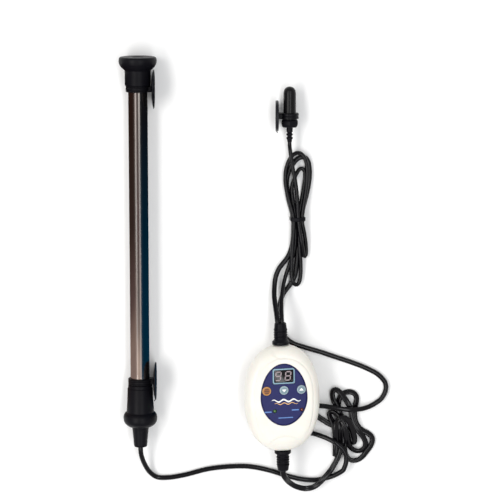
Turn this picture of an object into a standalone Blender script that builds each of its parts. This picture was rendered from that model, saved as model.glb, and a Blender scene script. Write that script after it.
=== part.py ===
"""Submersible aquarium heater: a metal tube heater, its remote temperature sensor and the
hand-sized thermostat that switches it, with the three leads that join them.

Everything lies flat on a table.  The heater's tube lies along Y, the thermostat's case lies
on the plug of its own mains lead and so is tipped a little, and the leads are bundled the
way they come out of the packing.  Lengths in the tables below are millimetres.
"""

import math

import bmesh
import bpy
from mathutils import Vector

MM = 0.001

# ---------------------------------------------------------------- driving dimensions (mm)
LAYOUT_X, LAYOUT_Y = -1.328, 0.143      # puts the middle of the rigid parts over the origin

# heater
HEATER_X, HEATER_Z = -79.0, 19.0      # the tube's axis
TUBE_R, TUBE_WALL = 9.5, 0.8          # 3/4 inch titanium tube
TUBE_BOTTOM, TUBE_TOP = -146.0, 192.0
TOP_CAP_BOTTOM, TOP_CAP_TOP = 179.0, 207.0
FLANGE_R = 18.8
BOTTOM_CAP_TOP, BOTTOM_CAP_BOTTOM = -121.0, -164.0
BOOT_END = -185.0
RUN = 0.3                             # running and resting gap between neighbours
RING_H = 6.0
UPPER_RING_Y, LOWER_RING_Y = 175.4, -117.7
RING_R = 12.0
CUP_R = 19.0                          # heater suction cups stand on the table
CUP_FACE = 16.1                       # from the tube's axis to the cup's lip

# sensor
SENSOR_X, SENSOR_Z = 70.0, 15.2
PROBE_R, PROBE_WALL = 6.2, 1.0
PROBE_TOP = 177.4
COLLAR_TOP, COLLAR_BOTTOM = 144.8, 137.2
SENSOR_RING_Y = 148.4
SENSOR_CUP_R, SENSOR_CUP_FACE = 15.2, 13.9

# thermostat case
CASE_X, CASE_Y, CASE_Z = 62.7, -132.2, 28.9
CASE_ROLL, CASE_YAW = 8.5, 1.2        # degrees: about its length, and about the vertical
CASE_A, CASE_B, CASE_E = 37.7, 54.0, 2.25
WALL = 2.0
FRONT_H, BACK_H = 15.0, 13.0
KEY_Y, KEY_PITCH, KEY_R = 10.5, 17.4, 4.35
KEY_TRAVEL = 0.6
DISPLAY_Y, DISPLAY_W, DISPLAY_H = 24.8, 22.2, 15.7
LED_AT = {"power_led": (-9.5, -10.2), "heating_led": (17.6, -10.1)}
LABEL_Y, LABEL_W, LABEL_UP, LABEL_DOWN = 2.4, 23.4, 34.9, 27.9
SCREW_AT = [(-17.0, 38.0), (17.0, 38.0), (-17.0, -38.0), (17.0, -38.0)]

# leads
HEATER_LEAD_D, SENSOR_LEAD_D, MAINS_LEAD_D = 5.0, 4.0, 5.0

# plug
PLUG_X, PLUG_Y, PLUG_TURN = 62.0, -122.0, 140.0
PLUG_L, PLUG_W, PLUG_T = 31.5, 22.0, 13.0

UP_Y = (math.radians(-90), 0.0, 0.0)   # local +Z lies along world +Y
DOWN_Y = (math.radians(90), 0.0, 0.0)  # local +Z lies along world -Y
TO_X = (0.0, math.radians(90), 0.0)    # local +Z lies along world +X
FROM_X = (0.0, math.radians(-90), 0.0)  # local +Z lies along world -X

# ---------------------------------------------------------------- a clean scene
for old in list(bpy.data.objects):
    bpy.data.objects.remove(old, do_unlink=True)
SCENE = bpy.context.scene
SCENE.unit_settings.system = "METRIC"

# ---------------------------------------------------------------- materials
FINISHES = {
    "titanium": ((0.52, 0.48, 0.44), 0.28, 1.0),
    "rubber": ((0.018, 0.018, 0.020), 0.55, 0.0),
    "cup_rubber": ((0.022, 0.024, 0.028), 0.35, 0.0),
    "black_plastic": ((0.020, 0.020, 0.022), 0.38, 0.0),
    "ceramic": ((0.82, 0.80, 0.74), 0.6, 0.0),
    "heating_wire": ((0.55, 0.52, 0.50), 0.4, 1.0),
    "magnesia": ((0.86, 0.85, 0.82), 0.9, 0.0),
    "steel": ((0.60, 0.60, 0.62), 0.32, 1.0),
    "epoxy": ((0.05, 0.05, 0.06), 0.45, 0.0),
    "case_cream": ((0.86, 0.84, 0.78), 0.35, 0.0),
    "label_navy": ((0.030, 0.035, 0.20), 0.30, 0.0),
    "bezel_blue": ((0.42, 0.58, 0.66), 0.35, 0.0),
    "window": ((0.010, 0.010, 0.012), 0.08, 0.0),
    "key_orange": ((0.62, 0.30, 0.06), 0.40, 0.0),
    "key_grey": ((0.42, 0.50, 0.56), 0.40, 0.0),
    "board_green": ((0.03, 0.22, 0.09), 0.45, 0.0),
    "led_green": ((0.10, 0.45, 0.08), 0.20, 0.0),
    "led_red": ((0.42, 0.05, 0.02), 0.20, 0.0),
    "relay_blue": ((0.05, 0.16, 0.42), 0.40, 0.0),
    "coil_yellow": ((0.75, 0.62, 0.12), 0.50, 0.0),
    "block_green": ((0.08, 0.36, 0.16), 0.45, 0.0),
    "lead_jacket": ((0.016, 0.015, 0.017), 0.42, 0.0),
    "brass": ((0.78, 0.60, 0.28), 0.30, 1.0),
}


def finish(name):
    found = bpy.data.materials.get(name)
    if found:
        return found
    colour, rough, metal = FINISHES[name]
    made = bpy.data.materials.new(name)
    made.use_nodes = True
    shader = made.node_tree.nodes["Principled BSDF"]
    shader.inputs["Base Color"].default_value = (*colour, 1.0)
    shader.inputs["Roughness"].default_value = rough
    shader.inputs["Metallic"].default_value = metal
    made.diffuse_color = (*colour, 1.0)
    return made


# ---------------------------------------------------------------- empties that carry the parts
def carrier(name, where, turn=(0.0, 0.0, 0.0), parent=None):
    made = bpy.data.objects.new(name, None)
    made.empty_display_size = 0.02
    made.location = Vector(where) * MM
    made.rotation_euler = turn
    made.parent = parent
    SCENE.collection.objects.link(made)
    return made


LAYOUT = carrier("layout", (LAYOUT_X, LAYOUT_Y, 0.0))
HEATER = carrier("heater_axis", (HEATER_X, 0.0, HEATER_Z), parent=LAYOUT)
SENSOR = carrier("sensor_axis", (SENSOR_X, 0.0, SENSOR_Z), parent=LAYOUT)
CASE = carrier("case_seam", (CASE_X, CASE_Y, CASE_Z),
               (0.0, math.radians(CASE_ROLL), math.radians(CASE_YAW)), LAYOUT)
PLUG = carrier("plug_axis", (PLUG_X, PLUG_Y, PLUG_T / 2),
               (0.0, 0.0, math.radians(PLUG_TURN)), LAYOUT)


# ---------------------------------------------------------------- modelling helpers
def place(name, bm, material, parent, where=(0, 0, 0), turn=(0, 0, 0), smooth=True):
    """Turns a closed bmesh (in millimetres) into a named object under its carrier."""
    bmesh.ops.scale(bm, vec=(MM, MM, MM), verts=bm.verts)
    bmesh.ops.recalc_face_normals(bm, faces=bm.faces)
    mesh = bpy.data.meshes.new(name)
    bm.to_mesh(mesh)
    bm.free()
    mesh.materials.append(finish(material))
    if smooth:
        mesh.shade_smooth()
        mesh.set_sharp_from_angle(angle=math.radians(35))
    made = bpy.data.objects.new(name, mesh)
    made.location = Vector(where) * MM
    made.rotation_euler = turn
    made.parent = parent
    SCENE.collection.objects.link(made)
    return made


def turned_mesh(profile, segments, loop=False, start=0.0):
    """A turned shape about Z from (radius, height) points; a radius of 0 is a point on the axis."""
    bm = bmesh.new()
    rings = []
    for radius, height in profile:
        if radius < 1e-6:
            rings.append([bm.verts.new((0.0, 0.0, height))])
            continue
        rings.append([
            bm.verts.new((radius * math.cos(start + 2 * math.pi * i / segments),
                          radius * math.sin(start + 2 * math.pi * i / segments), height))
            for i in range(segments)])
    pairs = list(zip(rings, rings[1:]))
    if loop:
        pairs.append((rings[-1], rings[0]))
    for low, high in pairs:
        for i in range(segments):
            j = (i + 1) % segments
            if len(low) == 1 and len(high) == 1:
                break
            if len(low) == 1:
                bm.faces.new((low[0], high[j], high[i]))
            elif len(high) == 1:
                bm.faces.new((low[i], low[j], high[0]))
            else:
                bm.faces.new((low[i], low[j], high[j], high[i]))
    return bm


def turned(name, profile, material, parent, where=(0, 0, 0), turn=UP_Y, segments=32, loop=False):
    return place(name, turned_mesh(profile, segments, loop), material, parent, where, turn)


def lofted_mesh(sections, caps=True):
    bm = bmesh.new()
    rings = [[bm.verts.new(p) for p in section] for section in sections]
    count = len(rings[0])
    for low, high in zip(rings, rings[1:]):
        for i in range(count):
            j = (i + 1) % count
            bm.faces.new((low[i], low[j], high[j], high[i]))
    if caps:
        bm.faces.new(list(reversed(rings[0])))
        bm.faces.new(rings[-1])
    return bm


def outline(a, b, count, power=2.0, centre=(0.0, 0.0)):
    """Points round a superellipse with half-axes a and b."""
    points = []
    for i in range(count):
        t = 2 * math.pi * i / count
        c, s = math.cos(t), math.sin(t)
        points.append((centre[0] + a * math.copysign(abs(c) ** (2 / power), c),
                       centre[1] + b * math.copysign(abs(s) ** (2 / power), s)))
    return points


def rounded_box(a, b, radius, centre=(0.0, 0.0), corner=3):
    """Corner points of a rectangle of half-sides a and b with rounded corners."""
    points = []
    for sx, sy, first in ((1, 1, 0), (-1, 1, 90), (-1, -1, 180), (1, -1, 270)):
        for i in range(corner):
            t = math.radians(first + 90 * i / (corner - 1))
            points.append((centre[0] + sx * (a - radius) + radius * math.cos(t),
                           centre[1] + sy * (b - radius) + radius * math.sin(t)))
    return points


def prism_mesh(points, low, high):
    return lofted_mesh([[(x, y, low) for x, y in points], [(x, y, high) for x, y in points]])


def prism(name, points, low, high, material, parent, where=(0, 0, 0), turn=(0, 0, 0)):
    return place(name, prism_mesh(points, low, high), material, parent, where, turn)


def block(name, size, centre, material, parent, edge=0.4):
    """A box with its upright edges rounded, sitting at its own place."""
    points = rounded_box(size[0] / 2, size[1] / 2, edge, corner=2)
    return prism(name, points, -size[2] / 2, size[2] / 2, material, parent, centre)


def cutter(bm, parent, where=(0, 0, 0), turn=(0, 0, 0), name="cutter"):
    made = place(name, bm, "steel", parent, where, turn, smooth=False)
    made.hide_render = True
    made.display_type = "WIRE"
    return made


def boolean(target, tool, operation):
    step = target.modifiers.new(operation.lower(), "BOOLEAN")
    step.operation = operation
    step.solver = "EXACT"
    step.object = tool


def rod_mesh(radius, low, high, segments=16):
    return turned_mesh([(0, low), (radius, low), (radius, high), (0, high)], segments)


# ---------------------------------------------------------------- heater
def build_heater():
    tube_with_closed_end()
    bore = TUBE_R + RUN
    # top cap: a sleeve with a thick flange that guards the tube's closed end
    place("top_end_cap", turned_mesh([
        (0, TOP_CAP_TOP), (16.0, TOP_CAP_TOP), (18.2, 204.8), (FLANGE_R, 201.2),
        (17.2, 197.6), (12.6, 194.6), (12.6, TOP_CAP_BOTTOM), (bore, TOP_CAP_BOTTOM),
        (bore, 183.4), (11.5, 183.4), (11.5, 186.0), (bore, 186.0), (bore, 190.6),
        (7.0, 192.5), (0, 192.5)], 24), "rubber", HEATER, (0, 0, 0), UP_Y)
    seal("top_seal_ring", 184.7)

    # bottom cap: a sleeve that swells to a bell, with a socket for the lead's boot
    turned("bottom_end_cap", [
        (bore, BOTTOM_CAP_TOP), (12.0, BOTTOM_CAP_TOP), (12.5, -128.0), (13.2, -142.0),
        (14.0, -149.6), (16.4, -153.6), (16.8, -158.0), (15.4, -162.0),
        (12.0, BOTTOM_CAP_BOTTOM), (7.4, BOTTOM_CAP_BOTTOM), (7.4, -155.6), (3.4, -155.6),
        (3.4, -148.0), (bore, -146.5), (bore, -131.4), (11.4, -131.4), (11.4, -128.8),
        (bore, -128.8)],
        "rubber", HEATER, segments=24, loop=True)
    seal("bottom_seal_ring", -130.1, 11.1)

    # the boot that the lead leaves through: a spigot in the cap, then a cone
    turned("cable_boot", [
        (0, -156.0), (7.0, -156.0), (7.0, BOTTOM_CAP_BOTTOM - RUN),
        (8.5, BOTTOM_CAP_BOTTOM - RUN), (7.8, -168.0), (6.9, -178.0), (6.4, BOOT_END),
        (3.0, BOOT_END), (3.0, -181.0), (0, -181.0)],
        "rubber", HEATER, segments=20)

    # inside the tube
    turned("ceramic_core", [(0, -90.0), (3.6, -90.0), (4.0, -89.4), (4.0, 171.4), (3.6, 172.0),
                            (0, 172.0)], "ceramic", HEATER, segments=16)
    coil()
    turned("magnesia_sleeve", [(6.1, -92.0), (8.3, -92.0), (8.3, 186.0), (6.1, 186.0)],
           "magnesia", HEATER, segments=24, loop=True)
    turned("thermal_cutout", [(0, -116.0), (3.0, -116.0), (3.4, -115.4), (3.4, -97.0),
                              (2.2, -96.2), (2.2, -92.6), (0, -92.6)], "steel", HEATER, segments=16)
    turned("potting_plug", [(0, -143.5), (8.3, -143.5), (8.3, -119.0), (7.6, -118.4),
                            (0, -118.4)], "epoxy", HEATER, segments=24)

    clip_ring("upper_clip_ring", UPPER_RING_Y)
    clip_ring("lower_clip_ring", LOWER_RING_Y)
    suction_cup("upper_suction_cup", UPPER_RING_Y)
    suction_cup("lower_suction_cup", LOWER_RING_Y)


def tube_with_closed_end():
    inner = TUBE_R - TUBE_WALL
    turned("titanium_tube", [
        (0, TUBE_TOP), (6.5, TUBE_TOP), (TUBE_R - 0.9, TUBE_TOP - 0.9),
        (TUBE_R, TUBE_TOP - 3.0), (TUBE_R, TUBE_BOTTOM), (inner, TUBE_BOTTOM),
        (inner, TUBE_TOP - 3.4), (inner - 0.8, TUBE_TOP - 1.8), (inner - 2.6, TUBE_TOP - 1.0),
        (0, TUBE_TOP - 1.0)], "titanium", HEATER, segments=24)


def seal(name, height, outer=11.2):
    """An O-ring in its groove between a cap and the tube."""
    inner = TUBE_R + RUN
    middle, half = (inner + outer) / 2, (outer - inner) / 2
    turned(name, [(middle + half * math.cos(math.radians(90 * i)),
                   height + half * math.sin(math.radians(90 * i))) for i in range(4)],
           "rubber", HEATER, segments=24, loop=True)


def coil():
    """The heating element: one wire wound round the ceramic core."""
    turns, steps, radius = 9, 9, 5.1
    low, high = -86.0, 168.0
    bm = bmesh.new()
    rings = []
    total = turns * steps
    for i in range(total + 1):
        angle = 2 * math.pi * i / steps
        height = low + (high - low) * i / total
        spot = Vector((radius * math.cos(angle), radius * math.sin(angle), height))
        out = Vector((math.cos(angle), math.sin(angle), 0.0))
        along = Vector((-radius * math.sin(angle), radius * math.cos(angle),
                        (high - low) / (2 * math.pi * turns))).normalized()
        side = along.cross(out).normalized()
        rings.append([bm.verts.new(spot + 0.45 * (out * c + side * s))
                      for c, s in ((1, 0), (0, 1), (-1, 0), (0, -1))])
    for one, two in zip(rings, rings[1:]):
        for k in range(4):
            m = (k + 1) % 4
            bm.faces.new((one[k], one[m], two[m], two[k]))
    bm.faces.new(list(reversed(rings[0])))
    bm.faces.new(rings[-1])
    return place("heating_coil", bm, "heating_wire", HEATER, turn=UP_Y)


def bracket_ring(name, y, parent, axis_r, ring_r, ring_h, hub, pocket_r, neck_r, wall, side):
    """A clip ring round a tube with a square hub on one side; the cup's stud snaps into the hub."""
    bore = axis_r + RUN
    ring = turned(name, [
        (bore, -ring_h / 2), (ring_r, -ring_h / 2), (ring_r, ring_h / 2), (bore, ring_h / 2)],
        "rubber", parent, (0, y, 0), UP_Y, 24, loop=True)
    turn = TO_X if side > 0 else FROM_X
    body = cutter(prism_mesh(rounded_box(5.0, ring_h / 2, 0.9), bore + 0.5, hub), parent,
                  (0, y, 0), (0, math.radians(90 * side), 0), name + "_hub")
    boolean(ring, body, "UNION")
    pocket = cutter(rod_mesh(pocket_r, axis_r - 2.0, hub - wall, 12), parent, (0, y, 0), turn,
                    name + "_pocket")
    boolean(ring, pocket, "DIFFERENCE")
    neck = cutter(rod_mesh(neck_r, axis_r, hub + 2.0, 12), parent, (0, y, 0), turn,
                  name + "_neck")
    boolean(ring, neck, "DIFFERENCE")
    return ring


def cup_profile(cup_r, face, hub, wall, stud_r, neck_r, axis_r):
    """Half section of a suction cup with its snap stud, height measured from the tube's axis."""
    back = hub + RUN
    return [
        (0, axis_r + RUN + 0.3), (stud_r, axis_r + RUN + 0.3), (stud_r, hub - wall - RUN),
        (neck_r, hub - wall - RUN), (neck_r, back), (cup_r * 0.55, back + 0.2),
        (cup_r, face - 0.9), (cup_r, face), (cup_r - 1.6, face), (cup_r * 0.62, face - 0.9),
        (0, face - 1.2)]


def clip_ring(name, y):
    return bracket_ring(name, y, HEATER, TUBE_R, RING_R, RING_H, 12.9, 2.6, 1.6, 1.2, 1)


def suction_cup(name, y):
    return turned(name, cup_profile(CUP_R, CUP_FACE, 12.9, 1.2, 2.3, 1.3, TUBE_R), "cup_rubber",
                  HEATER, (0, y, 0), TO_X, 24)


# ---------------------------------------------------------------- sensor
def build_sensor():
    inner = PROBE_R - PROBE_WALL
    turned("sensor_shell", [
        (0, PROBE_TOP), (2.6, PROBE_TOP - 0.6), (4.9, PROBE_TOP - 2.4), (PROBE_R, PROBE_TOP - 6.2),
        (PROBE_R, 139.6), (inner, 139.6), (inner, PROBE_TOP - 6.2), (3.4, PROBE_TOP - 2.6),
        (0, PROBE_TOP - 1.4)], "black_plastic", SENSOR, segments=20)
    socket = PROBE_R + RUN
    turned("sensor_collar", [
        (socket, COLLAR_TOP), (8.0, COLLAR_TOP), (8.7, COLLAR_TOP - 0.9), (8.7, 140.6),
        (6.6, COLLAR_BOTTOM), (3.4, COLLAR_BOTTOM), (3.4, 138.4), (socket, 139.2)],
        "rubber", SENSOR, segments=20, loop=True)
    turned("sensor_boot", [
        (0, 141.8), (3.0, 141.8), (3.0, 136.9), (3.9, 136.9), (3.9, 135.2), (3.1, 134.6),
        (2.6, 122.8), (0, 122.8)], "rubber", SENSOR, segments=12)
    turned("thermistor_bead", [(0, 172.6), (1.2, 172.0), (1.7, 170.6), (1.2, 169.2), (0, 168.6)],
           "epoxy", SENSOR, segments=12)
    turned("sensor_potting", [(0, 166.0), (4.8, 166.0), (4.8, 145.0), (0, 145.0)], "epoxy",
           SENSOR, segments=20)
    bracket_ring("sensor_clip_ring", SENSOR_RING_Y, SENSOR, PROBE_R, 9.0, 5.8, 10.4, 2.4, 1.4,
                 1.1, -1)
    turned("sensor_suction_cup", cup_profile(SENSOR_CUP_R, SENSOR_CUP_FACE, 10.4, 1.1, 2.1, 1.1,
                                             PROBE_R), "cup_rubber", SENSOR,
           (0, SENSOR_RING_Y, 0), FROM_X, 24)


# ---------------------------------------------------------------- thermostat case
def shell_mesh(outer, inner, count=32):
    """A domed half case: outer levels from the seam outwards, then inner levels back to the seam."""
    bm = bmesh.new()

    def ring(level, less):
        scale, z = level
        return [bm.verts.new((x, y, z)) for x, y in
                outline((CASE_A - less) * scale, (CASE_B - less) * scale, count, CASE_E)]

    outside = [ring(level, 0.0) for level in outer]
    inside = [ring(level, WALL) for level in inner]

    def bridge(one, two):
        for i in range(count):
            j = (i + 1) % count
            bm.faces.new((one[i], one[j], two[j], two[i]))

    for one, two in zip(outside, outside[1:]):
        bridge(one, two)
    for one, two in zip(inside, inside[1:]):
        bridge(one, two)
    bridge(inside[0], outside[0])
    bm.faces.new(outside[-1])
    bm.faces.new(inside[-1])
    return bm


def label_points(grow=0.0, count=28):
    """The label's egg: narrow above, full below its widest line."""
    points = []
    for i in range(count):
        t = 2 * math.pi * i / count
        c, s = math.cos(t), math.sin(t)
        power = 2.0 if s > 0 else 1.9
        reach = (LABEL_UP if s > 0 else LABEL_DOWN) + grow
        points.append((math.copysign(abs(c) ** (2 / power), c) * (LABEL_W + grow),
                       LABEL_Y + math.copysign(abs(s) ** (2 / power), s) * reach))
    return points


def build_case():
    front = place("front_shell", shell_mesh(
        [(1.0, 0.15), (0.995, 4.5), (0.95, 10.2), (0.86, 14.0), (0.78, FRONT_H)],
        [(1.0, 0.15), (0.985, 4.4), (0.92, 9.6), (0.80, 12.4)]),
        "case_cream", CASE)
    back = place("back_shell", shell_mesh(
        [(1.0, -0.15), (0.985, -4.6), (0.90, -10.6), (0.77, -BACK_H)],
        [(1.0, -0.15), (0.97, -4.4), (0.87, -9.0), (0.76, -11.0)]),
        "case_cream", CASE)

    # screw posts: the back shell's carry the screw, the front shell's take its thread
    for i, (x, y) in enumerate(SCREW_AT):
        boolean(front, cutter(rod_mesh(3.0, 0.4, 12.9, 10), CASE, (x, y, 0),
                              name=f"front_post_{i}"), "UNION")
        boolean(back, cutter(rod_mesh(3.9, -12.0, -0.4, 10), CASE, (x, y, 0),
                             name=f"back_post_{i}"), "UNION")
    for i, (x, y) in enumerate(SCREW_AT):
        boolean(front, cutter(rod_mesh(1.5, -1.0, 8.0, 8), CASE, (x, y, 0),
                              name=f"front_bore_{i}"), "DIFFERENCE")
        boolean(back, cutter(turned_mesh([(0, -14.0), (2.7, -14.0), (2.7, -11.0), (1.6, -11.0),
                                          (1.6, 1.0), (0, 1.0)], 10), CASE, (x, y, 0),
                             name=f"back_bore_{i}"), "DIFFERENCE")
        turned(f"case_screw_{i + 1}", [(0, -12.9), (2.4, -12.9), (2.4, -11.3),
                                       (1.15, -11.3), (1.15, 6.0), (0, 6.8)], "steel", CASE,
               (x, y, 0), (0, 0, 0), 10)

    # the label's recess, and the ways through it for the display, the keys and the lamps
    boolean(front, cutter(prism_mesh(label_points(RUN), 13.9, 17.0), CASE, name="label_recess"),
            "DIFFERENCE")
    half_w, half_h = DISPLAY_W / 2, DISPLAY_H / 2
    boolean(front, cutter(prism_mesh(rounded_box(half_w + RUN, half_h + RUN, 1.6), 10.0, 17.0),
                          CASE, (0, DISPLAY_Y, 0), name="display_way"), "DIFFERENCE")
    plate = prism("label_plate", label_points(), 14.2, 15.1, "label_navy", CASE)
    boolean(plate, cutter(prism_mesh(rounded_box(half_w + RUN, half_h + RUN, 1.6), 10.0, 17.0),
                          CASE, (0, DISPLAY_Y, 0), name="plate_display_way"), "DIFFERENCE")
    for i, x in enumerate((-KEY_PITCH, 0.0, KEY_PITCH)):
        boolean(front, cutter(rod_mesh(KEY_R + RUN, 10.0, 17.0, 14), CASE, (x, KEY_Y, 0),
                              name=f"key_way_{i}"), "DIFFERENCE")
        boolean(plate, cutter(rod_mesh(KEY_R + RUN, 10.0, 17.0, 14), CASE, (x, KEY_Y, 0),
                              name=f"plate_key_way_{i}"), "DIFFERENCE")
    for lamp, (x, y) in LED_AT.items():
        boolean(front, cutter(rod_mesh(2.1, 10.0, 17.0, 10), CASE, (x, y, 0),
                              name=lamp + "_way"), "DIFFERENCE")
        boolean(plate, cutter(rod_mesh(2.1, 10.0, 17.0, 10), CASE, (x, y, 0),
                              name=lamp + "_plate_way"), "DIFFERENCE")

    # half of each gland's hole is in each shell
    for i, turn in enumerate((UP_Y, DOWN_Y)):
        for shell in (front, back):
            boolean(shell, cutter(rod_mesh(4.9, 44.0, 60.0, 16), CASE, turn=turn,
                                  name=f"{shell.name}_gland_way_{i}"), "DIFFERENCE")

    # display: bezel, tinted window, and the digit module on the board
    frame = prism("display_bezel", rounded_box(half_w, half_h, 1.4), 12.7, 15.5, "bezel_blue",
                  CASE, (0, DISPLAY_Y, 0))
    boolean(frame, cutter(prism_mesh(rounded_box(half_w - 1.0, half_h - 1.0, 0.6), 10.0, 17.0),
                          CASE, (0, DISPLAY_Y, 0), name="bezel_way"), "DIFFERENCE")
    prism("display_window", rounded_box(half_w - 1.3, half_h - 1.3, 0.5), 13.4, 14.9, "window",
          CASE, (0, DISPLAY_Y, 0))
    block("display_module", (21.4, 14.8, 8.0), (0, DISPLAY_Y, 8.3), "window", CASE)

    # keys: a button, its retaining flange under the shell, and a stem over the switch
    for name, x, colour in (("set_key", -KEY_PITCH, "key_orange"), ("down_key", 0.0, "key_grey"),
                            ("up_key", KEY_PITCH, "key_grey")):
        turned(name, [(0, 8.2), (1.5, 8.2), (1.5, 11.0), (5.3, 11.0), (5.3, 12.1), (KEY_R, 12.1),
                      (KEY_R, 15.7), (KEY_R - 0.4, 16.1), (0, 16.1)], colour, CASE,
               (x, KEY_Y, 0), (0, 0, 0), 14)
    for name, x in (("set_switch", -KEY_PITCH), ("down_switch", 0.0), ("up_switch", KEY_PITCH)):
        switch = block(name, (6.0, 6.0, 2.4), (x, KEY_Y, 5.5), "black_plastic", CASE)
        boolean(switch, cutter(rod_mesh(1.6, 6.0, 7.5, 10), CASE, (x, KEY_Y, 0),
                               name=name + "_plunger"), "UNION")

    prism("circuit_board", outline(26.0, 40.0, 28, CASE_E), 2.4, 4.0, "board_green", CASE)
    for lamp, (x, y) in LED_AT.items():
        turned(lamp, [(0, 4.3), (1.8, 4.3), (1.8, 10.2), (1.7, 10.2), (1.7, 14.6), (1.3, 15.4),
                      (0, 15.7)], "led_green" if lamp == "power_led" else "led_red", CASE,
               (x, y, 0), (0, 0, 0), 10)
    block("microcontroller", (10.0, 10.0, 1.6), (2.5, -9.0, 5.1), "black_plastic", CASE)
    block("relay", (15.0, 20.0, 11.6), (-11.5, -14.0, -3.7), "relay_blue", CASE)
    block("transformer", (19.0, 20.0, 12.0), (9.5, -13.0, -3.9), "coil_yellow", CASE)
    block("terminal_block", (22.0, 10.0, 8.0), (0, 24.0, -1.9), "block_green", CASE)

    gland("top_gland", UP_Y, 8.6, 6.2, 76.0)
    gland("bottom_gland", DOWN_Y, 8.3, 5.9, 75.0)


def gland(name, turn, flange_r, body_r, end):
    """A moulded strain relief: a lip inside the case, a neck in its hole, then a ribbed sleeve."""
    profile = [(0, 47.0), (5.3, 47.0), (5.3, 49.0), (4.6, 49.0), (4.6, 54.4), (flange_r, 54.4),
               (flange_r, 58.0), (body_r + 0.9, 59.4)]
    for low in (60.6, 63.6):
        profile += [(body_r, low), (body_r, low + 0.8), (body_r + 0.8, low + 1.2),
                    (body_r + 0.8, low + 2.2)]
    profile += [(body_r - 0.2, 67.4), (body_r - 0.8, end), (0, end)]
    return turned(name, profile, "rubber", CASE, turn=turn, segments=16)


# ---------------------------------------------------------------- leads
def smooth_route(points, spacing):
    """Points every so many millimetres along a smooth curve through the route's own points."""
    route = [Vector(p) for p in points]
    padded = [route[0] * 2 - route[1]] + route + [route[-1] * 2 - route[-2]]
    fine = []
    for i in range(1, len(padded) - 2):
        p0, p1, p2, p3 = padded[i - 1:i + 3]
        t0 = 0.0
        t1 = t0 + max((p1 - p0).length, 1e-6) ** 0.5
        t2 = t1 + max((p2 - p1).length, 1e-6) ** 0.5
        t3 = t2 + max((p3 - p2).length, 1e-6) ** 0.5
        for k in range(24):
            t = t1 + (t2 - t1) * k / 24
            a1 = p0 * ((t1 - t) / (t1 - t0)) + p1 * ((t - t0) / (t1 - t0))
            a2 = p1 * ((t2 - t) / (t2 - t1)) + p2 * ((t - t1) / (t2 - t1))
            a3 = p2 * ((t3 - t) / (t3 - t2)) + p3 * ((t - t2) / (t3 - t2))
            b1 = a1 * ((t2 - t) / (t2 - t0)) + a2 * ((t - t0) / (t2 - t0))
            b2 = a2 * ((t3 - t) / (t3 - t1)) + a3 * ((t - t1) / (t3 - t1))
            fine.append(b1 * ((t2 - t) / (t2 - t1)) + b2 * ((t - t1) / (t2 - t1)))
    fine.append(route[-1])
    total = sum((b - a).length for a, b in zip(fine, fine[1:]))
    count = max(2, round(total / spacing))
    made, walked, target, step = [fine[0]], 0.0, total / count, total / count
    for a, b in zip(fine, fine[1:]):
        length = (b - a).length
        while walked + length >= target - 1e-9 and len(made) < count:
            made.append(a.lerp(b, (target - walked) / length))
            target += step
        walked += length
    made.append(fine[-1])
    return made


def lead(name, points, diameter, spacing):
    curve = bpy.data.curves.new(name, "CURVE")
    curve.dimensions = "3D"
    curve.bevel_depth = diameter / 2 * MM
    curve.bevel_resolution = 2
    curve.use_fill_caps = True
    spots = smooth_route(points, spacing)
    spline = curve.splines.new("POLY")
    spline.points.add(len(spots) - 1)
    for spot, point in zip(spots, spline.points):
        point.co = (*(spot * MM), 1.0)
    curve.materials.append(finish("lead_jacket"))
    made = bpy.data.objects.new(name, curve)
    made.parent = LAYOUT
    SCENE.collection.objects.link(made)
    return made


# The heater's lead: out of the boot, along the table past the thermostat, over the mains
# lead's bundle, back under the case, out again in a wide loop, under the gland, to the hank.
HEATER_LEAD_OUT = [
    (-79.0, -185.5, 19.0), (-79.0, -188.5, 18.9), (-78.4, -194.5, 17.6), (-75.5, -205.0, 12.0),
    (-70.5, -215.0, 6.2), (-63.5, -221.0, 3.2), (-53.0, -221.8, 2.6), (-36.5, -219.2, 2.6),
    (-9.6, -212.4, 2.6), (21.9, -209.8, 2.6), (36.0, -211.0, 2.6), (53.3, -215.0, 2.6),
    (67.5, -219.6, 2.6), (81.8, -223.2, 2.6), (96.0, -224.4, 2.6), (109.5, -221.6, 3.9),
    (119.6, -216.6, 7.4), (126.6, -210.6, 10.2), (129.3, -203.0, 11.8), (129.0, -195.6, 12.4),
    (125.0, -188.4, 12.6), (118.4, -183.0, 12.7), (110.4, -179.4, 11.0), (102.0, -177.0, 7.0),
    (93.6, -175.4, 3.4), (79.0, -175.6, 2.6), (68.0, -178.0, 2.6), (57.0, -179.6, 2.6),
    (47.5, -176.6, 2.6), (41.5, -169.0, 2.6), (42.0, -160.0, 2.6), (49.5, -153.4, 2.6),
    (61.0, -151.4, 2.6), (73.0, -152.0, 2.8), (80.0, -150.6, 5.6), (88.0, -148.0, 8.1),
    (95.0, -146.2, 8.7), (103.6, -145.4, 9.4), (112.0, -146.6, 11.0), (121.6, -148.4, 12.4), (131.6, -149.5, 12.2),
    (141.2, -149.9, 9.4), (149.4, -148.7, 5.8), (156.6, -145.4, 3.4), (163.4, -139.8, 2.6),
    (167.6, -132.0, 2.6), (167.6, -124.0, 2.6), (160.8, -115.4, 2.6), (147.9, -108.1, 2.6),
    (132.3, -101.9, 2.6), (116.6, -96.6, 2.6), (101.4, -91.4, 2.6), (86.0, -86.8, 2.6),
    (73.0, -82.0, 2.6), (64.5, -74.0, 2.6), (60.6, -62.0, 2.6), (60.4, -48.0, 2.6),
    (62.4, -36.5, 2.6), (66.5, -28.4, 2.6), (71.2, -23.2, 2.8)]
HEATER_LEAD_IN = [
    (64.6, 0.3, 4.6), (59.8, -6.4, 4.8), (56.6, -14.6, 6.0), (55.4, -23.6, 8.8),
    (55.2, -32.4, 12.8), (56.2, -41.4, 19.0), (57.8, -48.6, 25.4), (58.6, -54.9, 28.6)]
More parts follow.
